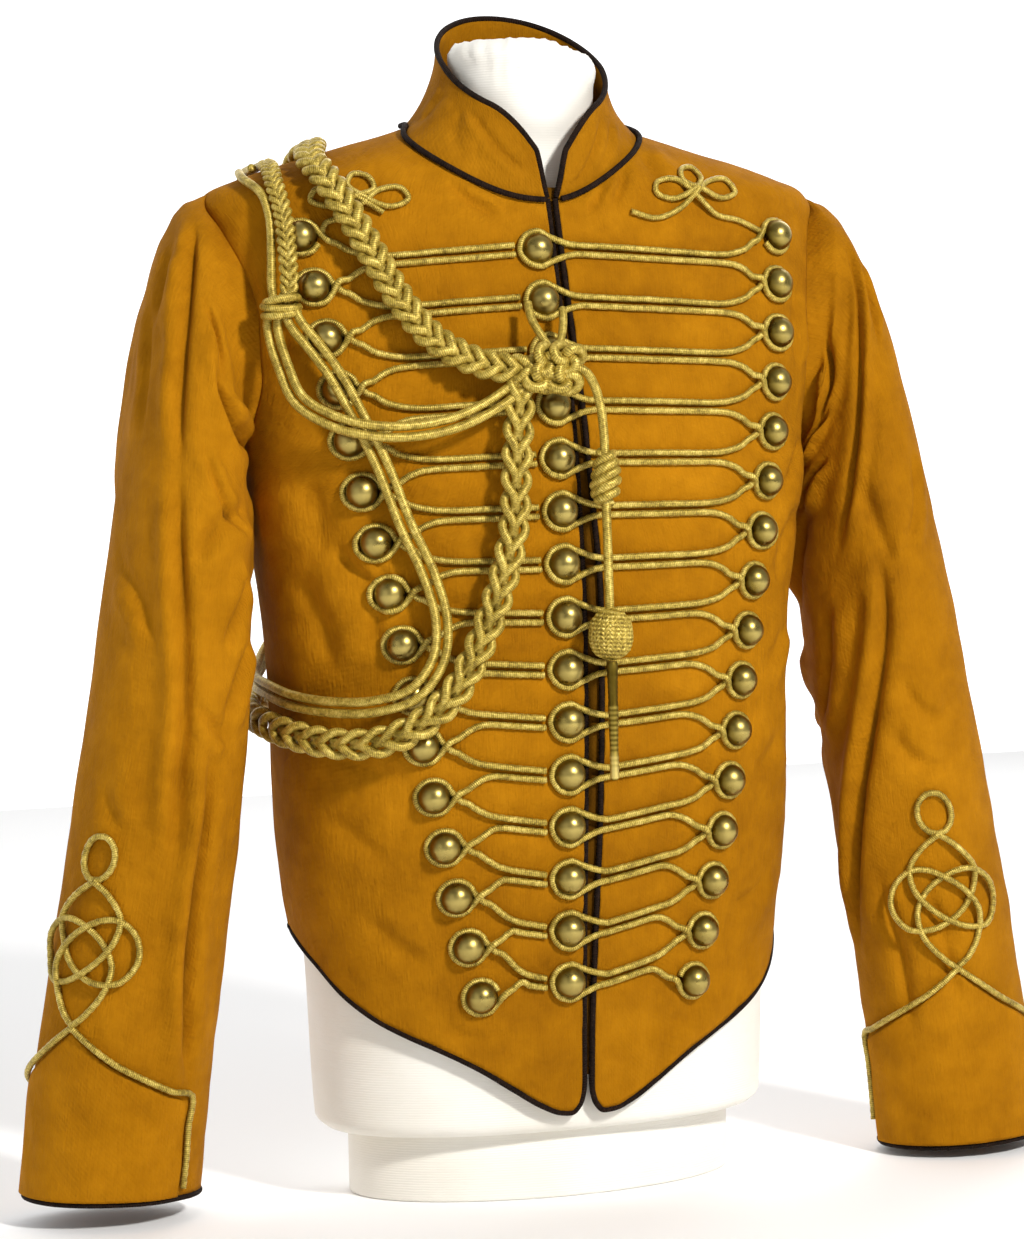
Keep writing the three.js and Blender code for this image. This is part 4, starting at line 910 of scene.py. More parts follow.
# Creases of the sleeves: degrees round from the outer side to the front, and rings down.
sleeveCreases = {
    "right": [
        (5.0, 3.6, 1, [(28, 1.1), (42, 1.9), (50, 2.6), (56, 3.7), (60, 4.4)]),
        (5.0, 3.8, 1, [(58, 4.0), (66, 4.9), (77, 5.8), (84, 6.5), (87, 7.3), (95, 8.3)]),
        (5.0, 2.2, -1, [(18, 2.1), (20, 2.6), (19, 3.3)]),
        (4.6, 5.4, -1, [(80, 2.5), (94, 2.8), (108, 2.75), (126, 2.2), (146, 1.6)]),
        (6.0, 2.6, 1, [(58, 2.2), (74, 2.1), (86, 2.3), (88, 3.0)]),
        (5.0, 3.0, 1, [(74, 5.2), (88, 4.6), (108, 4.0), (140, 3.3)]),
        (4.5, 2.2, -1, [(78, 3.7), (98, 4.0), (130, 3.9)]),
        (4.5, 3.2, 1, [(140, 4.3), (122, 5.1), (106, 5.8)]),
        (4.5, 2.8, -1, [(146, 5.2), (126, 6.0), (112, 6.7)]),
        (4.4, 4.8, 1, [(104, 6.6), (109, 7.4), (109, 8.3), (112, 9.2), (118, 10.0), (128, 10.8)]),
        (5.0, 1.8, 1, [(14, 5.4), (36, 5.6), (58, 6.0)]),
        (4.0, 2.0, 1, [(88, 6.4), (104, 6.6), (122, 6.7)]),
        (4.0, 1.6, 1, [(10, 2.9), (20, 3.7), (23, 4.3)]),
        (5.0, 1.5, -1, [(30, 7.4), (52, 7.8), (70, 7.7)]),
        (7.0, 3.6, 1, [(170, 2.2), (186, 3.2), (196, 4.4)]),
        (6.0, 3.0, -1, [(206, 5.6), (232, 6.2), (262, 6.2)]),
        (6.0, 2.6, 1, [(200, 6.8), (228, 7.0), (256, 6.8)]),
        (7.0, 3.0, -1, [(300, 2.4), (306, 3.6), (300, 5.0)]),
        (6.0, 2.6, 1, [(286, 7.6), (300, 9.0), (296, 10.4)]),
    ],
    "left": [
        (4.6, 3.2, 1, [(40, 1.3), (56, 1.75), (76, 2.1), (100, 2.7), (124, 3.5), (146, 4.4)]),
        (5.0, 4.8, -1, [(98, 0.5), (106, 1.05), (116, 1.5), (140, 1.5)]),
        (5.0, 4.4, 1, [(120, 1.9), (142, 1.6), (168, 2.1)]),
        (5.0, 3.4, 1, [(134, 2.6), (156, 2.7), (176, 3.3)]),
        (4.6, 4.6, -1, [
            (116, 4.4), (113, 5.3), (119, 5.9), (130, 6.5), (142, 7.1), (154, 7.7), (170, 8.7),
            (182, 9.7),
        ]),
        (6.0, 2.4, 1, [(118, 3.5), (110, 4.3), (101, 5.1)]),
        (5.5, 3.0, 1, [(160, 4.9), (166, 5.9), (180, 6.5), (200, 6.9)]),
        (3.8, 1.8, 1, [(112, 6.4), (98, 6.8), (82, 7.0)]),
        (3.8, 1.8, 1, [(124, 7.0), (108, 7.3), (88, 7.5)]),
        (4.6, 2.2, 1, [(54, 2.0), (58, 2.5), (66, 2.9)]),
        (4.6, 1.8, -1, [(112, 8.6), (104, 9.5), (103, 10.3)]),
        (5.0, 2.4, 1, [(150, 8.4), (138, 9.4), (136, 10.6)]),
        (6.0, 3.2, -1, [(168, 3.2), (186, 4.3), (204, 5.3)]),
        (4.6, 1.6, 1, [(60, 4.2), (72, 4.7), (90, 4.9)]),
        (6.0, 3.0, 1, [(210, 5.6), (236, 6.2), (262, 6.1)]),
        (6.0, 2.6, -1, [(206, 6.9), (232, 7.1), (258, 6.8)]),
        (7.0, 3.0, 1, [(296, 2.3), (304, 3.5), (300, 5.2)]),
        (6.0, 2.6, -1, [(290, 7.4), (302, 8.8), (300, 10.2)]),
    ],
}
ringLength = 54  # from one ring of the sleeve to the next
lastRing = sleeveRings[-1][0]


def sleeveRelief(arm, around, ring):
    degrees = np.mod(around / degree, 360)
    lines = [(*line[:3], [(a, r * ringLength) for a, r in line[3]]) for line in sleeveCreases[arm]]
    total = 1.45 * creaseSum(lines, degrees, ring * ringLength, True)
    wave = np.cos(around) * 60
    total += 1.3 * ripple(wave, ring * 30, 60, arms[arm]["seed"])
    total += 0.6 * ripple(np.sin(around) * 60, ring * 45, 24, arms[arm]["seed"] + 1)
    return total * smoothstep(ring, 0.0, 0.8)


def sleeveBase(arm, around, ring):
    look = arms[arm]
    around, ring = np.broadcast_arrays(np.asarray(around, float), np.asarray(ring, float))
    outX, outZ, inX, inZ, y, depth = (readTable(sleeveRings, c, ring) for c in range(1, 7))
    hang = np.clip((ring - 2.5) / 9.5, 0, 1)
    point = np.stack([
        (outX + inX) / 2 + (outX - inX) / 2 * np.cos(around),
        y + look["swing"] * hang - np.sin(around) * depth,
        (outZ + inZ) / 2 + (outZ - inZ) / 2 * np.cos(around) + look["drop"] * hang,
    ], -1)
    point[..., 0] *= look["mirror"]
    return point


def armholePoint(arm, around):
    folded = np.where(around <= math.pi, around, 2 * math.pi - around)
    z = armpit + (shoulder - armpit) * (1 + np.cos(folded)) / 2
    turn = np.where(around <= math.pi, edgeAngle(z, "front"), edgeAngle(z, "back"))
    point = bodyPoint(turn * arms[arm]["mirror"], z)
    point[..., 0] -= arms[arm]["mirror"] * 0.4
    return point


def sleeveSurface(arm, around, ring):
    around, ring = np.broadcast_arrays(np.asarray(around, float), np.asarray(ring, float))
    point = sleeveBase(arm, around, ring)
    offset = armholePoint(arm, np.mod(around, 2 * math.pi)) - sleeveBase(arm, around, 0.0)
    return point + offset * (np.clip(1 - ring, 0, 1) ** 2)[..., None]


def sleeveNormals(arm, around, ring):
    turn = sleeveSurface(arm, around + 0.02, ring) - sleeveSurface(arm, around - 0.02, ring)
    lower, higher = np.minimum(ring + 0.05, lastRing), np.maximum(ring - 0.05, 0)
    drop = sleeveSurface(arm, around, lower) - sleeveSurface(arm, around, higher)
    return unit(np.cross(turn, drop)) * arms[arm]["mirror"]


def sleeveSpots(arm, around, ring, lift):
    around, ring = np.asarray(around, float), np.asarray(ring, float)
    normals = sleeveNormals(arm, around, ring)
    more = lift + sleeveRelief(arm, around, ring)
    return sleeveSurface(arm, around, ring) + normals * np.asarray(more)[..., None], normals


sleeveSettings = {
    "columns": 172, "rows": 238, "lap": 3.0, "lapSize": 0.955, "backSeam": 250,
    "flat": (0.36, 0.66), "area": 0.19,
}


def makeSleeve(arm, look):
    around = np.linspace(0, 2 * math.pi, look["columns"], endpoint=False)[None, :]
    ring = lastRing * np.linspace(0, 1, look["rows"]) ** 1.15
    around, ring = np.broadcast_arrays(around, ring[:, None])
    points = sleeveSurface(arm, around, ring)
    relief = sleeveRelief(arm, around, ring)
    # the seam that joins it to the body, and the one down its back
    relief = relief + seamDip(ring * 14, 0.2, 3)
    back = np.abs(np.mod(around / degree - look["backSeam"] + 180, 360) - 180)
    relief = relief + seamDip(back, 0.9, 2.0) * smoothstep(ring, 0.1, 0.6)
    # the seam's turning, which lies under the edge of the body
    middle = points[0].mean(0)
    inner = middle + (points[0] - middle) * look["lapSize"]
    inner[:, 0] -= look["lap"] * arms[arm]["mirror"]
    points = np.concatenate([inner[None], points])
    relief = np.concatenate([np.zeros_like(relief[:1]), relief])
    return clothSheet("sleeve_cloth_" + arm, points, relief, arms[arm]["mirror"], clothThickness,
                      cloth, clothShade, round=True)


for arm in ("right", "left"):
    sleeve = finishPiece(makeSleeve(arm, sleeveSettings), "ochre_cloth", "sleeve_" + arm)
print("sleeves ready")


# Cuffs and their knots

peak, cuffTurn, rimTurn = 133, 84, 88.5
cuffEdge = [(0, 0), (15, 12), (32, 24), (50, 34), (70, 44), (90, 52)]
knotStrand = [
    (0, 93), (12, 83), (22, 69), (21, 55), (13, 43), (2, 34), (-13, 28), (-28, 29), (-37, 42),
    (-34, 57), (-23, 67), (-11, 68), (2, 62), (14, 52), (21, 39), (19, 23), (9, 8), (0, 0),
]


def ringAt(arm, around, z):
    around, z = np.broadcast_arrays(np.asarray(around, float), np.asarray(z, float))
    low, high = np.zeros(z.shape), np.full(z.shape, float(lastRing))
    for _ in range(26):
        guess = (low + high) / 2
        above = sleeveBase(arm, around, guess)[..., 2] > z
        low, high = np.where(above, guess, low), np.where(above, high, guess)
    return (low + high) / 2


def faceSpots(arm, turn, z, lift):
    around = (arms[arm]["face"] + np.asarray(turn, float)) * degree
    return sleeveSpots(arm, around, ringAt(arm, around, z), lift)


cuffSettings = {
    "columns": 110, "rows": 46, "lift": 2.5, "underLace": 3.6, "thickness": 1.6,
    "flat": (0.235, 0.1), "area": 0.0145,
}


def makeCuff(arm, look):
    turn = cuffTurn * np.linspace(-1, 1, look["columns"])
    around = (arms[arm]["face"] + turn) * degree
    bottom = sleeveBase(arm, around, lastRing)[:, 2]
    top = peak - look["underLace"] - readTable(cuffEdge, 1, np.abs(turn))
    share = np.linspace(0, 1, look["rows"])[:, None]
    z = bottom[None, :] + (top - bottom)[None, :] * share
    turn = np.broadcast_to(turn[None, :], z.shape)
    points, _ = faceSpots(arm, turn, z, look["lift"])
    relief = 0.35 * ripple(turn, z, 30, arms[arm]["seed"] + 5)
    relief = relief + seamDip(top[None, :] - z, 0.5, 2.0)
    return clothSheet("cuff_cloth_" + arm, points, relief, -arms[arm]["mirror"], look["thickness"],
                      cloth, clothShade)


laceSettings = {
    "radius": 2.1, "sides": 10, "step": 1.5, "twist": (3, 5.2, 0.07),
    "lift": 2.3, "cuffLift": 3.7, "over": 2.6,
}


def faceTube(arm, turnRise, lifts, look, closed=False):
    keys = np.array([(t, r, l) for (t, r), l in zip(turnRise, lifts)], float)
    spots, _ = faceSpots(arm, keys[:, 0], peak + keys[:, 1], keys[:, 2])
    run = smoothRun(np.concatenate([spots, keys], 1), look["step"], closed)
    _, normals = faceSpots(arm, run[:, 3], peak + run[:, 4], run[:, 5])
    return *tubeRings(run[:, :3], normals, look["radius"], look["sides"], *look["twist"]), closed


def makeKnot(arm, look):
    low, over = look["lift"], look["lift"] + look["over"]
    tubes = []
    for hand in (1, -1):
        keys = [(hand * t, r) for t, r in knotStrand]
        # a strand goes over and under its twin by turns
        lifts = [low + (look["over"] if (i // 3 + (hand < 0)) % 2 else 0) for i in range(len(keys))]
        lifts[0] = lifts[-1] = over if hand > 0 else low
        tubes.append(faceTube(arm, keys, lifts, look))
    loop = [(12 * math.sin(a), 107 + 14 * math.cos(a)) for a in (np.arange(8) + 0.5) / 8 * 2 * math.pi]
    tubes.append(faceTube(arm, loop, [low] * 8, look, True))
    for hand in (1, -1):
        keys = [(hand * t, -float(readTable(cuffEdge, 1, t))) for t in (0, 10, 20, 32, 44, 57, 70)]
        keys += [(hand * rimTurn, -drop) for drop in (50, 70, 90, 110)]
        lifts = [look["cuffLift"] if abs(t) < 80 else low for t, _ in keys]
        lifts[0] = over if hand > 0 else low
        tubes.append(faceTube(arm, keys, lifts, look))
    return tubesObject("cuff_lace_" + arm, tubes, lace)


cuffPipingSettings = {"radius": 1.9, "drop": 2.0, "sides": 10, "steps": 150}


def makeCuffPiping(arm, look):
    around = np.linspace(0, 2 * math.pi, look["steps"], endpoint=False)
    spots, normals = sleeveSpots(arm, around, np.full(look["steps"], lastRing), -clothThickness / 2)
    spots[:, 2] -= look["drop"]
    rings = closedRings(spots, normals, look["radius"], look["sides"])
    return tubesObject("cuff_edge_" + arm, [(rings, alongLength(spots), True)], piping)


for arm in ("right", "left"):
    cuff = finishPiece(makeCuff(arm, cuffSettings), "ochre_cloth", "cuff_" + arm)
    finishPiece(makeKnot(arm, laceSettings), "gold_cord", "cuff_knot_" + arm)
    finishPiece(makeCuffPiping(arm, cuffPipingSettings), "dark_piping", "cuff_piping_" + arm)
print("cuffs ready")


# Collar

# The top edge is a tilted oval. open is half the opening at the seam, in degrees, and flare is what
# it gains by the top.
collarSettings = {
    "columns": 190, "rows": 30, "thickness": 2.4, "flat": (0.42, 0.062), "area": 0.021,
    "half": 57, "front": 52, "rear": 64, "middle": -28, "top": 745, "tilt": 39,
    "open": 3.3, "flare": 8.7, "cornerWide": 38, "cornerDrop": 21, "aboveSeam": 0.6,
}


def collarSpot(share, rise, look=collarSettings):
    share, rise = np.broadcast_arrays(np.asarray(share, float), np.asarray(rise, float))
    gap = (look["open"] + look["flare"] * rise) * degree
    around = gap + (2 * math.pi - 2 * gap) * share
    seam = bodyPoint(around, neckHeight(around))
    reach = np.linalg.norm(seam, axis=-1)
    base = seam * (1 - 1 / reach - 0.006)[..., None]
    ahead = np.cos(around)
    depth = np.where(ahead > 0, look["front"], look["rear"])
    edge = np.minimum(share, 1 - share) * 2 * math.pi * 66
    corner = np.clip(1 - edge / look["cornerWide"], 0, 1)
    top = look["top"] - look["tilt"] * ahead - look["cornerDrop"] * corner**2
    draw = 1 - (1 - rise) ** 1.8
    low = look["aboveSeam"]
    return np.stack([
        base[..., 0] + (look["half"] * np.sin(around) - base[..., 0]) * draw,
        base[..., 1] + (look["middle"] - depth * ahead - base[..., 1]) * draw,
        seam[..., 2] + low + (top - seam[..., 2] - low) * rise,
    ], -1)


# Creases of the collar: millimetres along from its left front edge, and up.
collarCreases = [
    (3.4, 1.6, 1, [(8, 8), (26, 30), (40, 52)]),
    (3.0, 1.2, -1, [(24, 6), (40, 24), (50, 40)]),
    (3.6, 1.8, 1, [(392, 26), (372, 34), (350, 52)]),
    (3.2, 1.2, -1, [(352, 12), (344, 30), (340, 50)]),
    (3.4, 1.4, 1, [(322, 10), (318, 30), (322, 48)]),
]


def makeCollar(look):
    i = np.linspace(0, 1, look["columns"])
    share = 0.5 - 0.125 * np.cos(math.pi * i) - 0.375 * (1 - 2 * i)
    rise = np.linspace(0, 1, look["rows"])[:, None]
    points = collarSpot(share[None, :], rise)
    soft = ripple(share[None, :] * 400, rise * 70, 46, 15) * np.sin(math.pi * np.clip(rise, 0, 1))
    edge = np.minimum(share, 1 - share)[None, :] * 415
    stitch = seamDip(edge - 5.5, 0.35, 0.9) + seamDip((1 - rise) * 72 - 5.5, 0.35, 0.9)
    across = np.broadcast_to(share * 400, (look["rows"], look["columns"]))
    relief = 0.8 * soft + stitch + creaseSum(collarCreases, across, rise * 66)
    return clothSheet("collar_cloth", points, relief, 1, look["thickness"], clothCollar, clothShade)


collar = finishPiece(makeCollar(collarSettings), "ochre_cloth", "collar")
print("collar ready")


# Piping along the edges

edgeSettings = {"radius": 1.95, "out": 1.6, "neckLift": 1.9, "neckOut": 0.4, "sides": 10, "step": 1.6}


def pipeRun(keys, normals, look):
    keys = np.asarray(keys, float)
    run = smoothRun(np.concatenate([keys, normals], 1), look["step"])
    rings, length = tubeRings(run[:, :3], unit(run[:, 3:6]), look["radius"], look["sides"])
    return rings, length, False


# Points a step beyond the edge of a cloth, level with the middle of its thickness.
def beyond(points, normals, thickness, out, hand):
    along = unit(np.gradient(points, axis=0))
    away = unit(np.cross(along, normals)) * hand
    return points - normals * thickness / 2 + away * out


def frontEdge(side):
    mirror, column = (1, 2) if side == "left" else (-1, 1)
    z = np.linspace(neckFront + 1, 76, 70)
    around = frontAngle(readTable(centreEdges, column, z), z)
    upright = bodyPoint(around, z)
    corner = float(frontAngle(readTable(centreEdges, column, 74.0), 74.0)) * mirror
    past = np.concatenate([np.linspace(0.6, 8, 12), np.linspace(10, 94.6, 50)]) * degree
    below, hem = (corner + (sideSeam - corner) * past / sideSeam) * mirror, hemHeight(past)
    points = np.concatenate([upright, bodyPoint(below, hem)])
    normals = np.concatenate([bodyNormal(around, z), bodyNormal(below, hem)])
    return points, normals


for side in ("right", "left"):
    points, normals = frontEdge(side)
    run = beyond(points, normals, clothThickness, edgeSettings["out"], 1 if side == "left" else -1)
    tube = tubesObject("front_edge_cord_" + side, [pipeRun(run, normals, edgeSettings)], piping)
    finishPiece(tube, "dark_piping", "edge_piping_" + side)

backAround = np.linspace(95.6, 264.4, 90) * degree
backZ = hemHeight(np.minimum(backAround, 2 * math.pi - backAround))
backNormals = bodyNormal(backAround, backZ)
backRun = beyond(bodyPoint(backAround, backZ), backNormals, clothThickness, edgeSettings["out"], 1)
backTube = tubesObject("back_hem_cord", [pipeRun(backRun, backNormals, edgeSettings)], piping)
finishPiece(backTube, "dark_piping", "back_hem_piping")

neckAround = np.linspace(4, 356, 120) * degree
neckZ = neckHeight(neckAround)
neckNormals = bodyNormal(neckAround, neckZ)
levelOut = unit(neckNormals * np.array([1, 1, 0]))
neckRun = bodyPoint(neckAround, neckZ) + neckNormals * edgeSettings["neckLift"]
neckRun = neckRun + levelOut * edgeSettings["neckOut"]
neckTube = tubesObject("neck_cord", [pipeRun(neckRun, neckNormals, edgeSettings)], piping)
finishPiece(neckTube, "dark_piping", "neck_piping")


def collarRun():
    climb = np.linspace(0.02, 1, 24)
    share = np.linspace(0, 1, 130)
    keys = [(0, r) for r in climb] + [(s, 1) for s in share[1:-1]] + [(1, r) for r in climb[::-1]]
    keys = np.array(keys)
    points = collarSpot(keys[:, 0], keys[:, 1])
    share, rise = keys.T
    turn = collarSpot(np.minimum(share + 0.01, 1), rise) - collarSpot(np.maximum(share - 0.01, 0), rise)
    climb = collarSpot(share, np.minimum(rise + 0.05, 1)) - collarSpot(share, np.maximum(rise - 0.05, 0))
    normals = unit(np.cross(turn, climb))
    return beyond(points, normals, collarSettings["thickness"], edgeSettings["out"], -1), normals


collarTube = tubesObject("collar_cord", [pipeRun(*collarRun(), edgeSettings)], piping)
finishPiece(collarTube, "dark_piping", "collar_piping")
print("piping ready")


# Frogging: doubled cords, the rings round the buttons and the trefoils

# stub and stubRight: how far from the centre buttons the branches of a row start
frogSettings = {
    "radius": 2.15, "sides": 10, "step": 1.25, "twist": (3, 4.6, 0.06), "lift": 2.35, "over": 3.4,
    "loop": 11.6, "ring": 10.9, "stub": 27, "stubRight": 15.5, "trefoilRadius": 1.9, "trefoilOver": 2.6,
}


def frogTube(keys, look):
    x, z, lift = np.array(keys, float).T
    run = smoothRun(np.stack([x, z, np.zeros(len(x)), lift], 1), look["step"])
    spots, normals = frontSpots(run[:, :2], run[:, 3])
    return *tubeRings(spots, normals, look["radius"], look["sides"], *look["twist"]), False


# One cord of a row, from the middle out to where it meets its button.
def branch(row, mirror, upward, look):
    button = row if upward else row + 1
    level = (outerZ(row) + outerZ(row + 1)) / 2 - rowZ(row)
    near = (outerX(row) + outerX(row + 1)) / 2
    hand = 1 if upward else -1
    start = buttonX + look["stub"] if mirror > 0 else -buttonX + look["stubRight"]
    lift = look["lift"]
    # the narrow rows at the waist fork later and tighter
    wide = min(max((near - start - 40) / 50, 0), 1)
    reach = outerX(button) - 23 - 4 * wide
    straight = max(near - 33 - 11 * wide, start + 0.45 * (reach - start))
    bend = straight + 0.5 * (reach - straight)
    share = min((straight - start) / 40, 1)
    keys = [(start, rowZ(row) + hand * 3.0)]
    if straight - start > 16:
        keys.append(((start + straight) / 2, rowZ(row) + 0.5 * share * level + hand * 3.1))
    keys.append((straight, rowZ(row) + share * level + hand * 3.3))
    keys.append((bend, rowZ(row) + 0.5 * (1 + share) * level + hand * 4.5))
    keys.append((reach, outerZ(button) - hand * (7 + 2 * wide)))
    keys.append((outerX(button) - 20.5, outerZ(button) - hand * 4.6))
    return [(mirror * x, z, lift) for x, z in keys]


# Round an outer button: in over the crossing, round behind the dome and out again.
def buttonTurn(button, mirror, look, fromAbove=True, toBelow=True):
    x, z, r = outerX(button), outerZ(button), look["ring"]
    low, over = look["lift"], look["lift"] + look["over"]
    keys = [(mirror * (x - 15.4), z + 2.6, over)] if fromAbove else []
    for angle in (206, 240, 285, 330, 15, 60, 105, 140, 160):
        keys.append((mirror * (x + r * math.cos(angle * degree)), z + r * math.sin(angle * degree), low))
    if toBelow:
        keys.append((mirror * (x - 16.4), z - 3.0, low))
    return keys


def sideCords(mirror, look):
    tubes = []
    for button in range(rowCount + 1):
        keys = []
        if button > 0:
            keys += branch(button - 1, mirror, False, look)
        keys += buttonTurn(button, mirror, look, button > 0, button < rowCount)
        if button < rowCount:
            keys += branch(button, mirror, True, look)[::-1]
        tubes.append(frogTube(keys, look))
    return tubes


# The left cords cross the opening and ring the centre buttons.
def centreLoop(row, look):
    z, low = rowZ(row), look["lift"]
    start, reach = buttonX + look["stub"], look["loop"]
    keys = [(start, z + 3.0, low), (buttonX + 20, z + 4.2, low)]
    for angle in (48, 85, 130, 180, 230, 275, 312):
        along, up = reach * math.cos(angle * degree), reach * math.sin(angle * degree)
        keys.append((buttonX + along, z + up, low + 0.6))
    keys += [(buttonX + 20, z - 4.2, low), (start, z - 3.0, low)]
    return frogTube(keys, look)


trefoils = {
    1: [
        (153, 634), (136, 641), (118, 645), (103, 657), (92, 666), (78, 667), (74, 660), (86, 655),
        (101, 660), (111, 669), (106, 676), (97, 674), (95, 667), (108, 661), (124, 656), (136, 660),
        (131, 668), (117, 667), (104, 659), (90, 648), (72, 642), (54, 646),
    ],
    # the right one sits farther out, half under the plait
    -1: [
        (153, 634), (150, 640), (141, 643), (126, 652), (115, 661), (101, 662), (97, 655), (109, 650),
        (124, 655), (134, 664), (129, 671), (120, 669), (118, 662), (131, 656), (147, 651), (158, 655),
        (153, 662), (140, 661), (127, 654), (114, 646),
    ],
}
trefoilOver = (3, 8, 13, 18)


def trefoilTube(mirror, look):
    keys = []
    for i, (x, z) in enumerate(trefoils[mirror]):
        keys.append((mirror * x, z, look["lift"] + (look["trefoilOver"] if i in trefoilOver else -0.2)))
    return frogTube(keys, dict(look, radius=look["trefoilRadius"]))


outerSettings = {"radius": 10.5, "height": 10.4, "rim": 0.9, "lift": 3.0}
centreSettings = {"radius": 10.6, "height": 10.8, "rim": 0.9, "lift": 3.6}


# A domed button, modelled lying on its back at the origin and then copied.
def modelButton(name, look, material):
    bpy.ops.object.select_all(action="DESELECT")
    bpy.ops.mesh.primitive_uv_sphere_add(segments=40, ring_count=24, radius=look["radius"] * mm)
    dome = bpy.context.object
    dome.name = name
    bpy.ops.object.mode_set(mode="EDIT")
    bpy.ops.mesh.select_all(action="SELECT")
    bpy.ops.transform.resize(value=(1, 1, look["height"] / look["radius"]))
    bpy.ops.mesh.bisect(plane_co=(0, 0, 0.0), plane_no=(0, 0, 1), clear_inner=True)
    work = bmesh.from_edit_mesh(dome.data)
    for edge in work.edges:
        edge.select = edge.is_boundary
    bmesh.update_edit_mesh(dome.data)
    bpy.ops.mesh.extrude_region_move(TRANSFORM_OT_translate={"value": (0, 0, -look["rim"] * mm)})
    bpy.ops.transform.resize(value=(1.03, 1.03, 1))
    bpy.ops.mesh.extrude_region_move(TRANSFORM_OT_translate={"value": (0, 0, -0.9 * mm)})
    bpy.ops.transform.resize(value=(0.82, 0.82, 1))
    bpy.ops.mesh.extrude_region_move(TRANSFORM_OT_translate={"value": (0, 0, -look["lift"] * mm)})
    bpy.ops.transform.resize(value=(0.7, 0.7, 1))
    bpy.ops.mesh.edge_face_add()
    facesOutward()
    inOrder(dome.data)
    bpy.ops.object.shade_smooth()
    dome.data.materials.append(material)
    # the height of each point sets the painted dark rim and light top of the brass
    heights = np.array([v.co.z for v in dome.data.vertices])
    setAttribute(dome, "dome", np.clip(heights / (look["height"] * mm), 0, 1) ** 0.7)
    return dome


# A copy of the model on the front, at x and z, with a mesh of its own.
def sewnButton(name, model, x, z, lift):
    spots, normals = frontSpots([(x, z)], lift)
    turn = Vector((0, 0, 1)).rotation_difference(Vector(normals[0])).to_matrix().to_4x4()
    mesh = model.data.copy()
    mesh.transform(Matrix.Translation(Vector(spots[0]) * mm) @ turn)
    button = bpy.data.objects.new(name, mesh)
    bpy.context.scene.collection.objects.link(button)
    return button


outerModel = modelButton("outer_button_model", outerSettings, brass)
for side, mirror in (("right", -1), ("left", 1)):
    tubes = sideCords(mirror, frogSettings) + [trefoilTube(mirror, frogSettings)]
    if side == "left":
        tubes += [centreLoop(row, frogSettings) for row in range(rowCount)]
    finishPiece(tubesObject("frogging_cords_" + side, tubes, lace), "gold_cord", "frogging_" + side)
    for number in range(rowCount + 1):
        name = "outer_button_%s_%02d" % (side, number + 1)
        x, z = mirror * outerX(number), outerZ(number)
        finishPiece(sewnButton(name, outerModel, x, z, outerSettings["lift"]), "aged_brass")
bpy.data.objects.remove(outerModel)

centreModel = modelButton("centre_button_model", centreSettings, brass)
for row in range(rowCount):
    number = "button_%02d" % (row + 1)
    button = sewnButton("centre_" + number, centreModel, buttonX, rowZ(row), centreSettings["lift"])
    finishPiece(button, "aged_brass", number)
bpy.data.objects.remove(centreModel)
print("frogging and buttons ready")


# Aiguillette: plaits, cords, knots and the pencil

# degrees round the body, height, how far the middle stands off
chestPlait = [
    (-90, 690, 6), (-81, 684.5, 6.5), (-74.5, 675, 8.5), (-69.5, 665, 12), (-66, 652, 15),
    (-62.2, 631.5, 16), (-57.7, 607.5, 15.5), (-52, 581.5, 15), (-45.4, 560, 16), (-36, 545, 19),
    (-27, 539, 22), (-19.5, 538.5, 24),
]
armPlait = [
    (-23, 530, 21), (-24, 487, 16.5), (-25.5, 439, 16), (-29.5, 403, 17), (-35, 369, 19),
    (-41, 340, 21.5), (-49, 319, 22.5), (-57, 309, 20), (-67, 308, 15), (-77, 313, 12.5),
    (-86, 318, 11.5), (-95, 322, 11.5), (-104, 328, 12), (-114, 342, 12), (-123, 368, 12),
    (-129, 410, 10), (-131, 470, 9), (-131, 530, 9), (-129, 590, 8), (-125, 640, 8),
    (-118, 669, 7), (-105, 686, 6), (-90.5, 690, 6),
]
shoulderCord = [
    (-90, 674, 3.6), (-82, 667.5, 4.4), (-77, 657.5, 6.5), (-75.2, 642, 10), (-73.9, 618, 15),
    (-73, 596, 17), (-72.3, 585, 16.5),
]
shoulderPlait = [
    (-90, 680, 4), (-80.5, 673, 5), (-75.8, 662, 7.5), (-73.5, 646, 12), (-72.2, 627, 16.5),
    (-71, 606, 18), (-70.6, 597, 17.5), (-71, 586, 16.5),
]
hangingPair = [
    (-70.4, 583, 16), (-69, 573, 15), (-66.5, 560, 14.5), (-63, 541, 15.4), (-59, 514, 14),
    (-54.5, 481, 13), (-50.5, 446, 12), (-46, 414, 12.5), (-43.5, 385, 14), (-44.5, 360, 18),
    (-49.5, 340, 22), (-57, 332, 21), (-66, 331, 15), (-76, 334, 9.5), (-86, 340, 8), (-96, 345, 8),
    (-106, 356, 9), (-114, 382, 9), (-119, 430, 9), (-121.5, 500, 9), (-121.5, 560, 9),
    (-119, 615, 8), (-113, 652, 7), (-102, 674, 5), (-91, 678.5, 3.8),
]
swungPair = [
    (-72.3, 582, 16), (-72.5, 572, 14.5), (-70.5, 548, 20), (-68, 527, 22), (-62.5, 512, 23),
    (-56, 505, 22), (-48.5, 504, 20), (-40, 508, 19), (-32, 516, 20), (-23, 528, 21),
]
# these two hang free: x, y, z
pencilCord = [
    (-14, -140, 544), (-5, -143, 541), (2, -142, 531), (6, -142, 515), (7, -143, 500), (7, -144, 486),
]
pencilTail = [(7, -144, 460), (7, -145, 430), (7, -146, 386)]

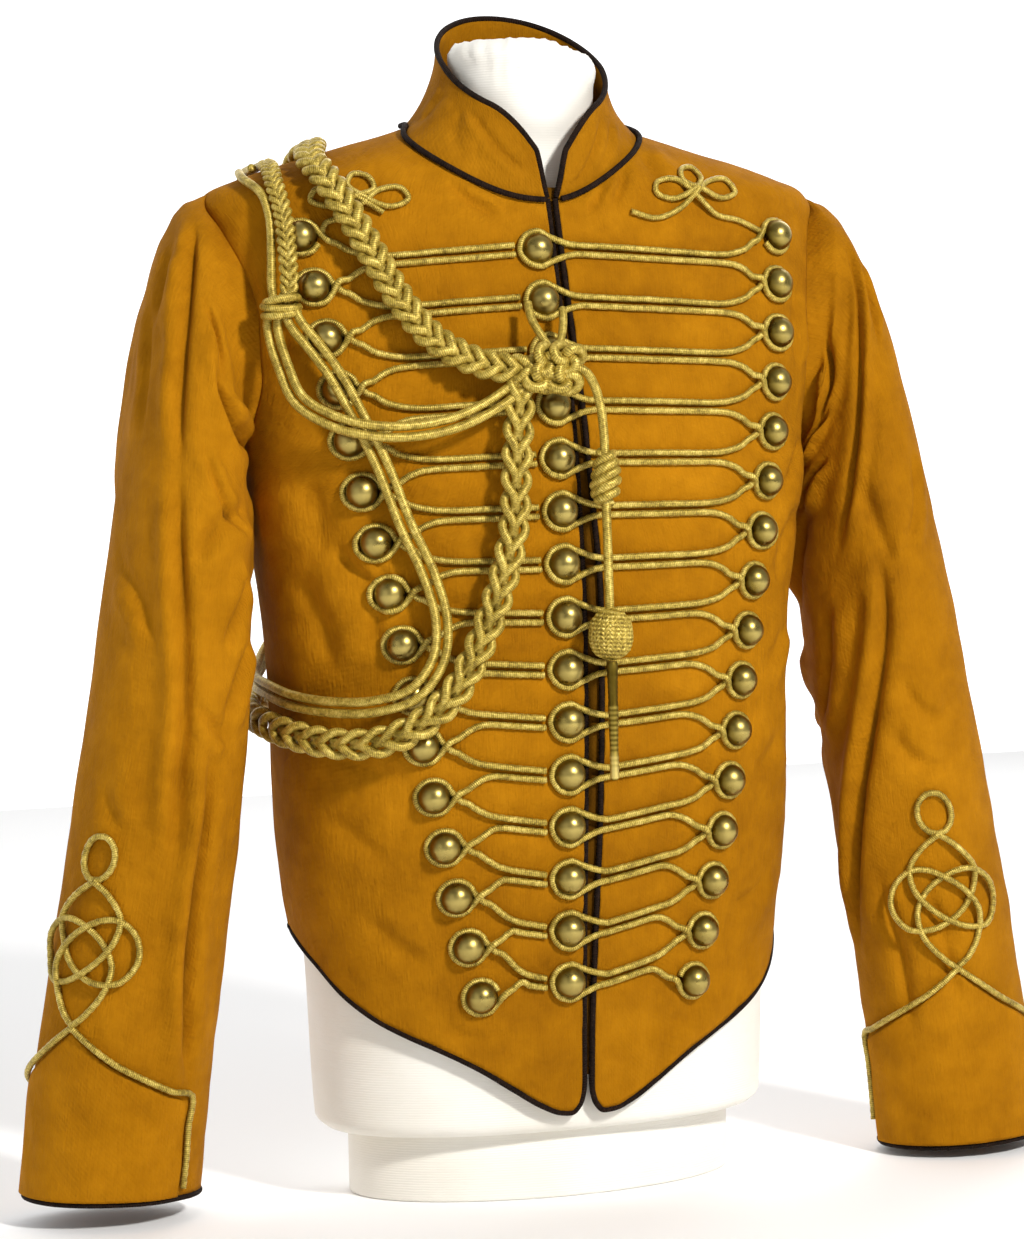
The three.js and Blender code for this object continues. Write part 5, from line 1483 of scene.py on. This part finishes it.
# ends: how far the strands have spread at the start and at the end
plaitSettings = {
    "chest": {
        "across": 6.9, "up": 2.4, "strand": 3.1, "turn": 21.0,
        "sides": 12, "step": 0.9, "ends": (0.7, 0.7),
    },
    "arm": {
        "across": 7.2, "up": 2.7, "strand": 2.9, "turn": 31.0,
        "sides": 12, "step": 1.1, "ends": (0.9, 0.7),
    },
    "shoulder": {
        "across": 4.3, "up": 1.3, "strand": 1.95, "turn": 13.0,
        "sides": 10, "step": 0.6, "ends": (0.7, 0.6),
    },
}
cordSettings = {"radius": 2.9, "sides": 14, "step": 1.2, "twist": (3, 5.0, 0.02), "pairGap": (3.7, 3.5)}


def bodyRun(keys, step):
    keys = np.array(keys, float)
    around, z = keys[:, 0] * degree, keys[:, 1]
    normals = bodyNormal(around, z)
    spots = bodyPoint(around, z) + normals * keys[:, 2:3]
    run = smoothRun(np.concatenate([spots, normals], 1), step)
    return run[:, :3], unit(run[:, 3:6])


def airRun(keys, step):
    run = smoothRun(keys, step)
    return run, np.broadcast_to([0.0, -1.0, 0.0], run.shape)


# Two pairs of strands: a pair meets in the middle in a V on top, parts again underneath,
# and the other pair does the same half a turn later.
def plaitTubes(points, normals, look):
    along = unit(np.gradient(points, axis=0))
    across = unit(np.cross(along, normals))
    up = unit(np.cross(across, along))
    length = alongLength(points)
    # the plait draws in at its ends
    start, end = look["ends"]
    spread = start + (1 - start) * smoothstep(length, 0, 14)
    spread = spread * (end + (1 - end) * smoothstep(length[-1] - length, 0, 14))
    tubes = []
    for pair in range(2):
        turn = 2 * math.pi * length / look["turn"] + math.pi * pair
        side = (0.56 + 0.5 * np.cos(turn)) * look["across"] * spread
        lift = np.sin(turn) * look["up"]
        for hand in (-1, 1):
            centre = points + across * (hand * side)[:, None] + up * lift[:, None]
            tubes.append((*tubeRings(centre, up, look["strand"], look["sides"]), False))
    return tubes


def plaitPiece(name, keys, look, node):
    points, normals = bodyRun(keys, look["step"])
    piece = tubesObject(name, plaitTubes(points, normals, look), strandGold)
    return finishPiece(piece, "gold_cord", node), points


# A plain cord along its keys, or beside them, and the path it takes.
def cordPiece(name, route, keys, look, node, aside=0.0):
    points, normals = route(keys, look["step"])
    if aside:
        points = points + unit(np.cross(np.gradient(points, axis=0), normals)) * aside
    rings, length = tubeRings(points, normals, look["radius"], look["sides"], *look["twist"])
    piece = tubesObject(name, [(rings, length, False)], twist)
    return finishPiece(piece, "gold_cord", node), points


# Knots are built of wound lumps: closed loops of cord that cross over and under.
knotSettings = {"strand": 3.3, "hanger": 2.7, "lumps": [
    {"place": (-16, -139, 549.5), "size": (11.0, 8.0, 9.5), "winds": (2, 3), "turn": 10},
    {"place": (-29, -136, 548), "size": (10.5, 7.5, 9.5), "winds": (2, 3), "turn": 95},
    {"place": (-18, -139, 536), "size": (10.5, 8.0, 9.0), "winds": (2, 3), "turn": 200},
    {"place": (-32, -136, 537), "size": (10.5, 7.5, 8.5), "winds": (2, 3), "turn": 320},
]}
smallKnotSettings = {"strand": 2.5, "lumps": [
    {"place": (-186, -78, 586.5), "size": (11.5, 8.5, 5.0), "winds": (1, 0), "turn": 0},
    {"place": (-186, -78, 582.0), "size": (11.0, 8.5, 5.0), "winds": (1, 0), "turn": 60},
    {"place": (-186, -80, 590.5), "size": (10.5, 8.0, 5.0), "winds": (1, 0), "turn": 130},
]}


def knotTubes(look):
    tubes = []
    t = np.linspace(0, 2 * math.pi, 260, endpoint=False)
    for lump in look["lumps"]:
        p, q = lump["winds"]
        half = np.array(lump["size"], float)
        phase = lump["turn"] * degree
        if q:
            # a flat rosette seen from the front
            reach = 0.62 + 0.38 * np.cos(q * t)
            spots = np.stack([
                reach * np.cos(p * t + phase) * half[0],
                -np.sin(q * t) * half[1] * 0.55,
                reach * np.sin(p * t + phase) * half[2],
            ], 1)
            outward = unit(spots / half + np.array([0, -0.4, 0]))
        else:
            # a turn round the bundle, a little tilted
            spots = np.stack([np.cos(t) * half[0], np.sin(t) * half[1], np.sin(t + phase) * 1.6], 1)
            outward = unit(spots * np.array([1, 1, 0]))
        rings = closedRings(spots, outward, look["strand"], 12) + np.array(lump["place"])
        tubes.append((rings, alongLength(spots), True))
    return tubes


# The loop by which the big knot hangs on the second centre button.
def hangerTube(look):
    keys = [(-32, -114, 586), (-32.5, -121, 576), (-28.5, -129, 564), (-22, -134, 553),
            (-16, -130, 562), (-11, -122, 573), (-9, -116, 582)]
    return *tubeRings(*airRun(keys, 1.2), look["hanger"], 10), False


chest = plaitPiece("plait_over_chest", chestPlait, plaitSettings["chest"], "plait_chest")
under = plaitPiece("plait_under_arm_back", armPlait, plaitSettings["arm"], "plait_under_arm")
overPlait = plaitPiece("plait_over_shoulder", shoulderPlait, plaitSettings["shoulder"], "shoulder_plait")
overCord = cordPiece("cord_over_shoulder", bodyRun, shoulderCord, cordSettings, "shoulder_cord")
bigKnotTubes = knotTubes(knotSettings) + [hangerTube(knotSettings)]
bigKnot = tubesObject("plait_knot_wound", bigKnotTubes, strandGold)
finishPiece(bigKnot, "gold_cord", "plait_knot")
smallKnot = tubesObject("shoulder_knot_wound", knotTubes(smallKnotSettings), twist)
finishPiece(smallKnot, "gold_cord", "shoulder_knot")

for name, keys, gap in zip(("hanging", "swung"), (hangingPair, swungPair), cordSettings["pairGap"]):
    for number, aside in ((1, gap), (2, -gap)):
        node = "%s_cord_%d" % (name, number)
        fine = "%s_cord_fine_%d" % (name, number)
        cordPiece(fine, bodyRun, keys, cordSettings, node, aside)

pencilLine = cordPiece("pencil_cord_fine", airRun, pencilCord, cordSettings, "pencil_cord")
pencilEnd = cordPiece("pencil_tail_fine", airRun, pencilTail, cordSettings, "pencil_tail")


wrapSettings = {
    "place": (7, -144, 473), "half": 16.4, "strand": 3.1, "twist": (3, 5.0, 0.05),
    "turns": 5.5, "lean": 3.4, "steps": 420,
}
wrapProfile = [(-1, 2.4), (-0.8, 5.4), (-0.3, 7.4), (0.2, 6.8), (0.7, 4.8), (1, 2.4)]


def wrapTube(look):
    t = np.linspace(0, 1, look["steps"])
    angle = 2 * math.pi * look["turns"] * t
    rise = 2 * t - 1
    radius = readTable(wrapProfile, 1, rise)
    spots = np.stack([
        radius * np.cos(angle), radius * np.sin(angle),
        rise * look["half"] + look["lean"] * np.cos(angle + 0.6) * (1 - rise * rise),
    ], 1)
    outward = unit(spots * np.array([1, 1, 0.2]))
    spots = spots + np.array(look["place"])
    return *tubeRings(spots, outward, look["strand"], 12, *look["twist"]), False


ballSettings = {
    "place": (7, -147, 373), "half": 16.5, "around": 28, "rows": 11, "stitch": 1.1, "mesh": (208, 150),
}
ballProfile = [
    (-1, 2.0), (-0.9, 7.4), (-0.6, 12.2), (-0.15, 14.0), (0.35, 13.3), (0.75, 9.6), (0.95, 4.8),
    (1, 2.4),
]


# A knitted ball: rows of small stitches that lean to each other by turns.
def makeBall(look):
    columns, rows = look["mesh"]
    around = np.linspace(0, 2 * math.pi, columns, endpoint=False)[None, :]
    rise = np.linspace(-1, 1, rows)[:, None]
    radius = readTable(ballProfile, 1, rise)
    column = around / (2 * math.pi) * look["around"]
    row = (rise + 1) / 2 * look["rows"]
    lean = np.abs(np.mod(column / 2, 1) - 0.5) * 2
    stitch = np.abs(np.sin(math.pi * (row + 1.15 * lean))) ** 0.8
    stitch = stitch * (0.35 + 0.65 * np.abs(np.sin(math.pi * column)) ** 0.6)
    radius = radius + (stitch - 0.55) * look["stitch"]
    height = np.broadcast_to(rise * look["half"], radius.shape)
    rings = np.stack([radius * np.cos(around), radius * np.sin(around), height], -1)
    rings = rings + np.array(look["place"])
    length = np.linspace(0, 2 * look["half"], rows)
    return tubesObject("pencil_ball_knitted", [(rings, length, False)], knitGold)


tipSettings = {"place": (7, -148, 317.5), "half": 38, "sides": 28, "band": 1.6, "notch": 0.9}
tipProfile = [
    (-38, 2.2), (-36.6, 2.8), (-32, 2.9), (-22, 3.1), (10, 3.9), (28, 4.4), (33, 4.6), (36, 4.5),
    (37.8, 4.1),
]


def makeTip(look):
    bpy.ops.object.select_all(action="DESELECT")
    bpy.ops.mesh.primitive_circle_add(vertices=look["sides"], radius=1 * mm, fill_type="NGON")
    tip = bpy.context.object
    tip.name = "pencil_tip_ferrule"
    x, y, z = (c * mm for c in look["place"])
    bpy.ops.object.mode_set(mode="EDIT")
    bpy.ops.mesh.select_all(action="SELECT")
    bpy.ops.transform.resize(value=(tipProfile[0][1],) * 2 + (1,))
    bpy.ops.transform.translate(value=(x, y, z + tipProfile[0][0] * mm))
    for (lowZ, lowR), (highZ, highR) in zip(tipProfile, tipProfile[1:]):
        steps = max(1, int((highZ - lowZ) / look["band"]))
        notched = lowZ > -33
        for step in range(steps):
            before = lowR + (highR - lowR) * step / steps
            after = lowR + (highR - lowR) * ((step + 1) / steps)
            # every other ring is drawn in
            notch = look["notch"] if step % 2 and notched else 1.0
            last = look["notch"] if (step - 1) % 2 and step and notched else 1.0
            factor = after / before * notch / last
            rise = (0, 0, (highZ - lowZ) / steps * mm)
            bpy.ops.mesh.extrude_region_move(TRANSFORM_OT_translate={"value": rise})
            bpy.ops.transform.resize(value=(factor, factor, 1))
    facesOutward()
    selectOnly(tip)
    bpy.ops.object.transform_apply(location=True, rotation=True, scale=True)
    inOrder(tip.data)
    bpy.ops.object.shade_smooth_by_angle(angle=math.radians(35))
    tip.data.materials.append(ferruleBrass)
    # its bands are bright and the notches between them dark
    reach = np.array([math.hypot(v.co.x - x, v.co.y - y) for v in tip.data.vertices])
    share = (np.array([v.co.z for v in tip.data.vertices]) - z) / (2 * look["half"] * mm) + 0.5
    full = 0.0026 + 0.002 * share
    setAttribute(tip, "dome", np.clip(0.25 + (reach / full - 0.86) * 6, 0.15, 1))
    return tip


wrap = tubesObject("pencil_wrap_wound", [wrapTube(wrapSettings)], twist)
finishPiece(wrap, "gold_cord", "pencil_wrap")
ball = finishPiece(makeBall(ballSettings), "gold_cord", "pencil_ball")
tip = finishPiece(makeTip(tipSettings), "aged_brass", "pencil_tip")


print("aiguillette ready")


# Dress form

formSections = [
    (46, 149, 84, 80, -12), (52, 155, 89, 84, -12), (150, 159, 95, 89, -12), (250, 168, 101, 89, -12),
    (340, 169, 104, 86, -12), (440, 180, 102, 89, -11), (510, 186, 97, 97, -10), (570, 194, 85, 99, -6),
    (610, 198, 77, 95, -4), (636, 199, 71, 90, -1), (649, 194, 68, 85, 0), (659, 178, 65, 80, 0),
    (671, 142, 61, 74, 0), (684, 97, 56, 66, -2), (696, 62, 50, 56, -8), (709, 52, 47, 48, -16),
    (735, 49, 45, 46, -24), (753, 49.5, 44, 46, -28), (761, 44, 39, 41, -28),
]
formSettings = {
    "columns": 128, "rows": 220, "capRings": 10, "capCentre": (0, -28, 757),
    "puckered": (722, 756), "pucker": 1.3, "slant": 9,
}


def makeForm(look):
    z = np.linspace(formSections[0][0], formSections[-1][0], look["rows"])[:, None]
    around = np.linspace(0, 2 * math.pi, look["columns"], endpoint=False)[None, :]
    half, front, rear, middle = (readTable(formSections, c, z) for c in range(1, 5))
    full = 2.3 - 0.3 * smoothstep(z, 600, 680)
    side, ahead = np.sin(around), np.cos(around)
    depth = np.where(ahead > 0, front, rear)
    reach = (np.abs(side / half) ** full + np.abs(ahead / depth) ** full) ** (-1 / full)
    points = np.stack([reach * side, middle - reach * ahead, np.broadcast_to(z, reach.shape)], -1)
    # the top of the neck is pressed and puckered by hand
    pucker = smoothstep(z, *look["puckered"])
    u, v = side * 60, ahead * 60 + z
    wave = ripple(u, v, 13, 21) + 0.7 * ripple(u, v, 7, 22)
    moved = np.stack([side * wave, -ahead * wave, 0.8 * wave], -1)
    points = points + moved * pucker[..., None] * look["pucker"]
    points[..., 2] -= look["slant"] * pucker * smoothstep(side, -0.2, 1.0)
    top, centre = points[-1], np.array(look["capCentre"])
    for k in range(1, look["capRings"]):
        ring = centre + (top - centre) * (1 - k / look["capRings"])
        points = np.concatenate([points, ring[None]], 0)
    rings = (points, np.arange(len(points), dtype=float) * 3, False)
    return tubesObject("form_torso", [rings], formSkin)


footSettings = {"half": (134, 75), "middle": -12, "tall": 45.6, "sides": 96, "round": 2.2}


def makeFoot(look):
    bpy.ops.object.select_all(action="DESELECT")
    bpy.ops.mesh.primitive_cylinder_add(vertices=look["sides"], radius=1, depth=look["tall"] * mm,
                                        location=(0, look["middle"] * mm, look["tall"] / 2 * mm))
    foot = bpy.context.object
    foot.name = "form_foot"
    bpy.ops.object.mode_set(mode="EDIT")
    bpy.ops.mesh.select_all(action="SELECT")
    bpy.ops.transform.resize(value=(look["half"][0] * mm, look["half"][1] * mm, 1))
    work = bmesh.from_edit_mesh(foot.data)
    for edge in work.edges:
        edge.select = len({round(v.co.z, 6) for v in edge.verts}) == 1
    bmesh.update_edit_mesh(foot.data)
    bpy.ops.mesh.bevel(offset=look["round"] * mm, segments=3, affect="EDGES")
    bpy.ops.object.mode_set(mode="OBJECT")
    bpy.ops.object.transform_apply(location=True, rotation=True, scale=True)
    bpy.ops.object.shade_smooth_by_angle(angle=math.radians(40))
    foot.data.materials.append(formSkin)
    return foot


form = finishPiece(makeForm(formSettings), "form_cloth", "dress_form")
finishPiece(makeFoot(footSettings), "form_cloth", "form_base")
print("dress form ready")
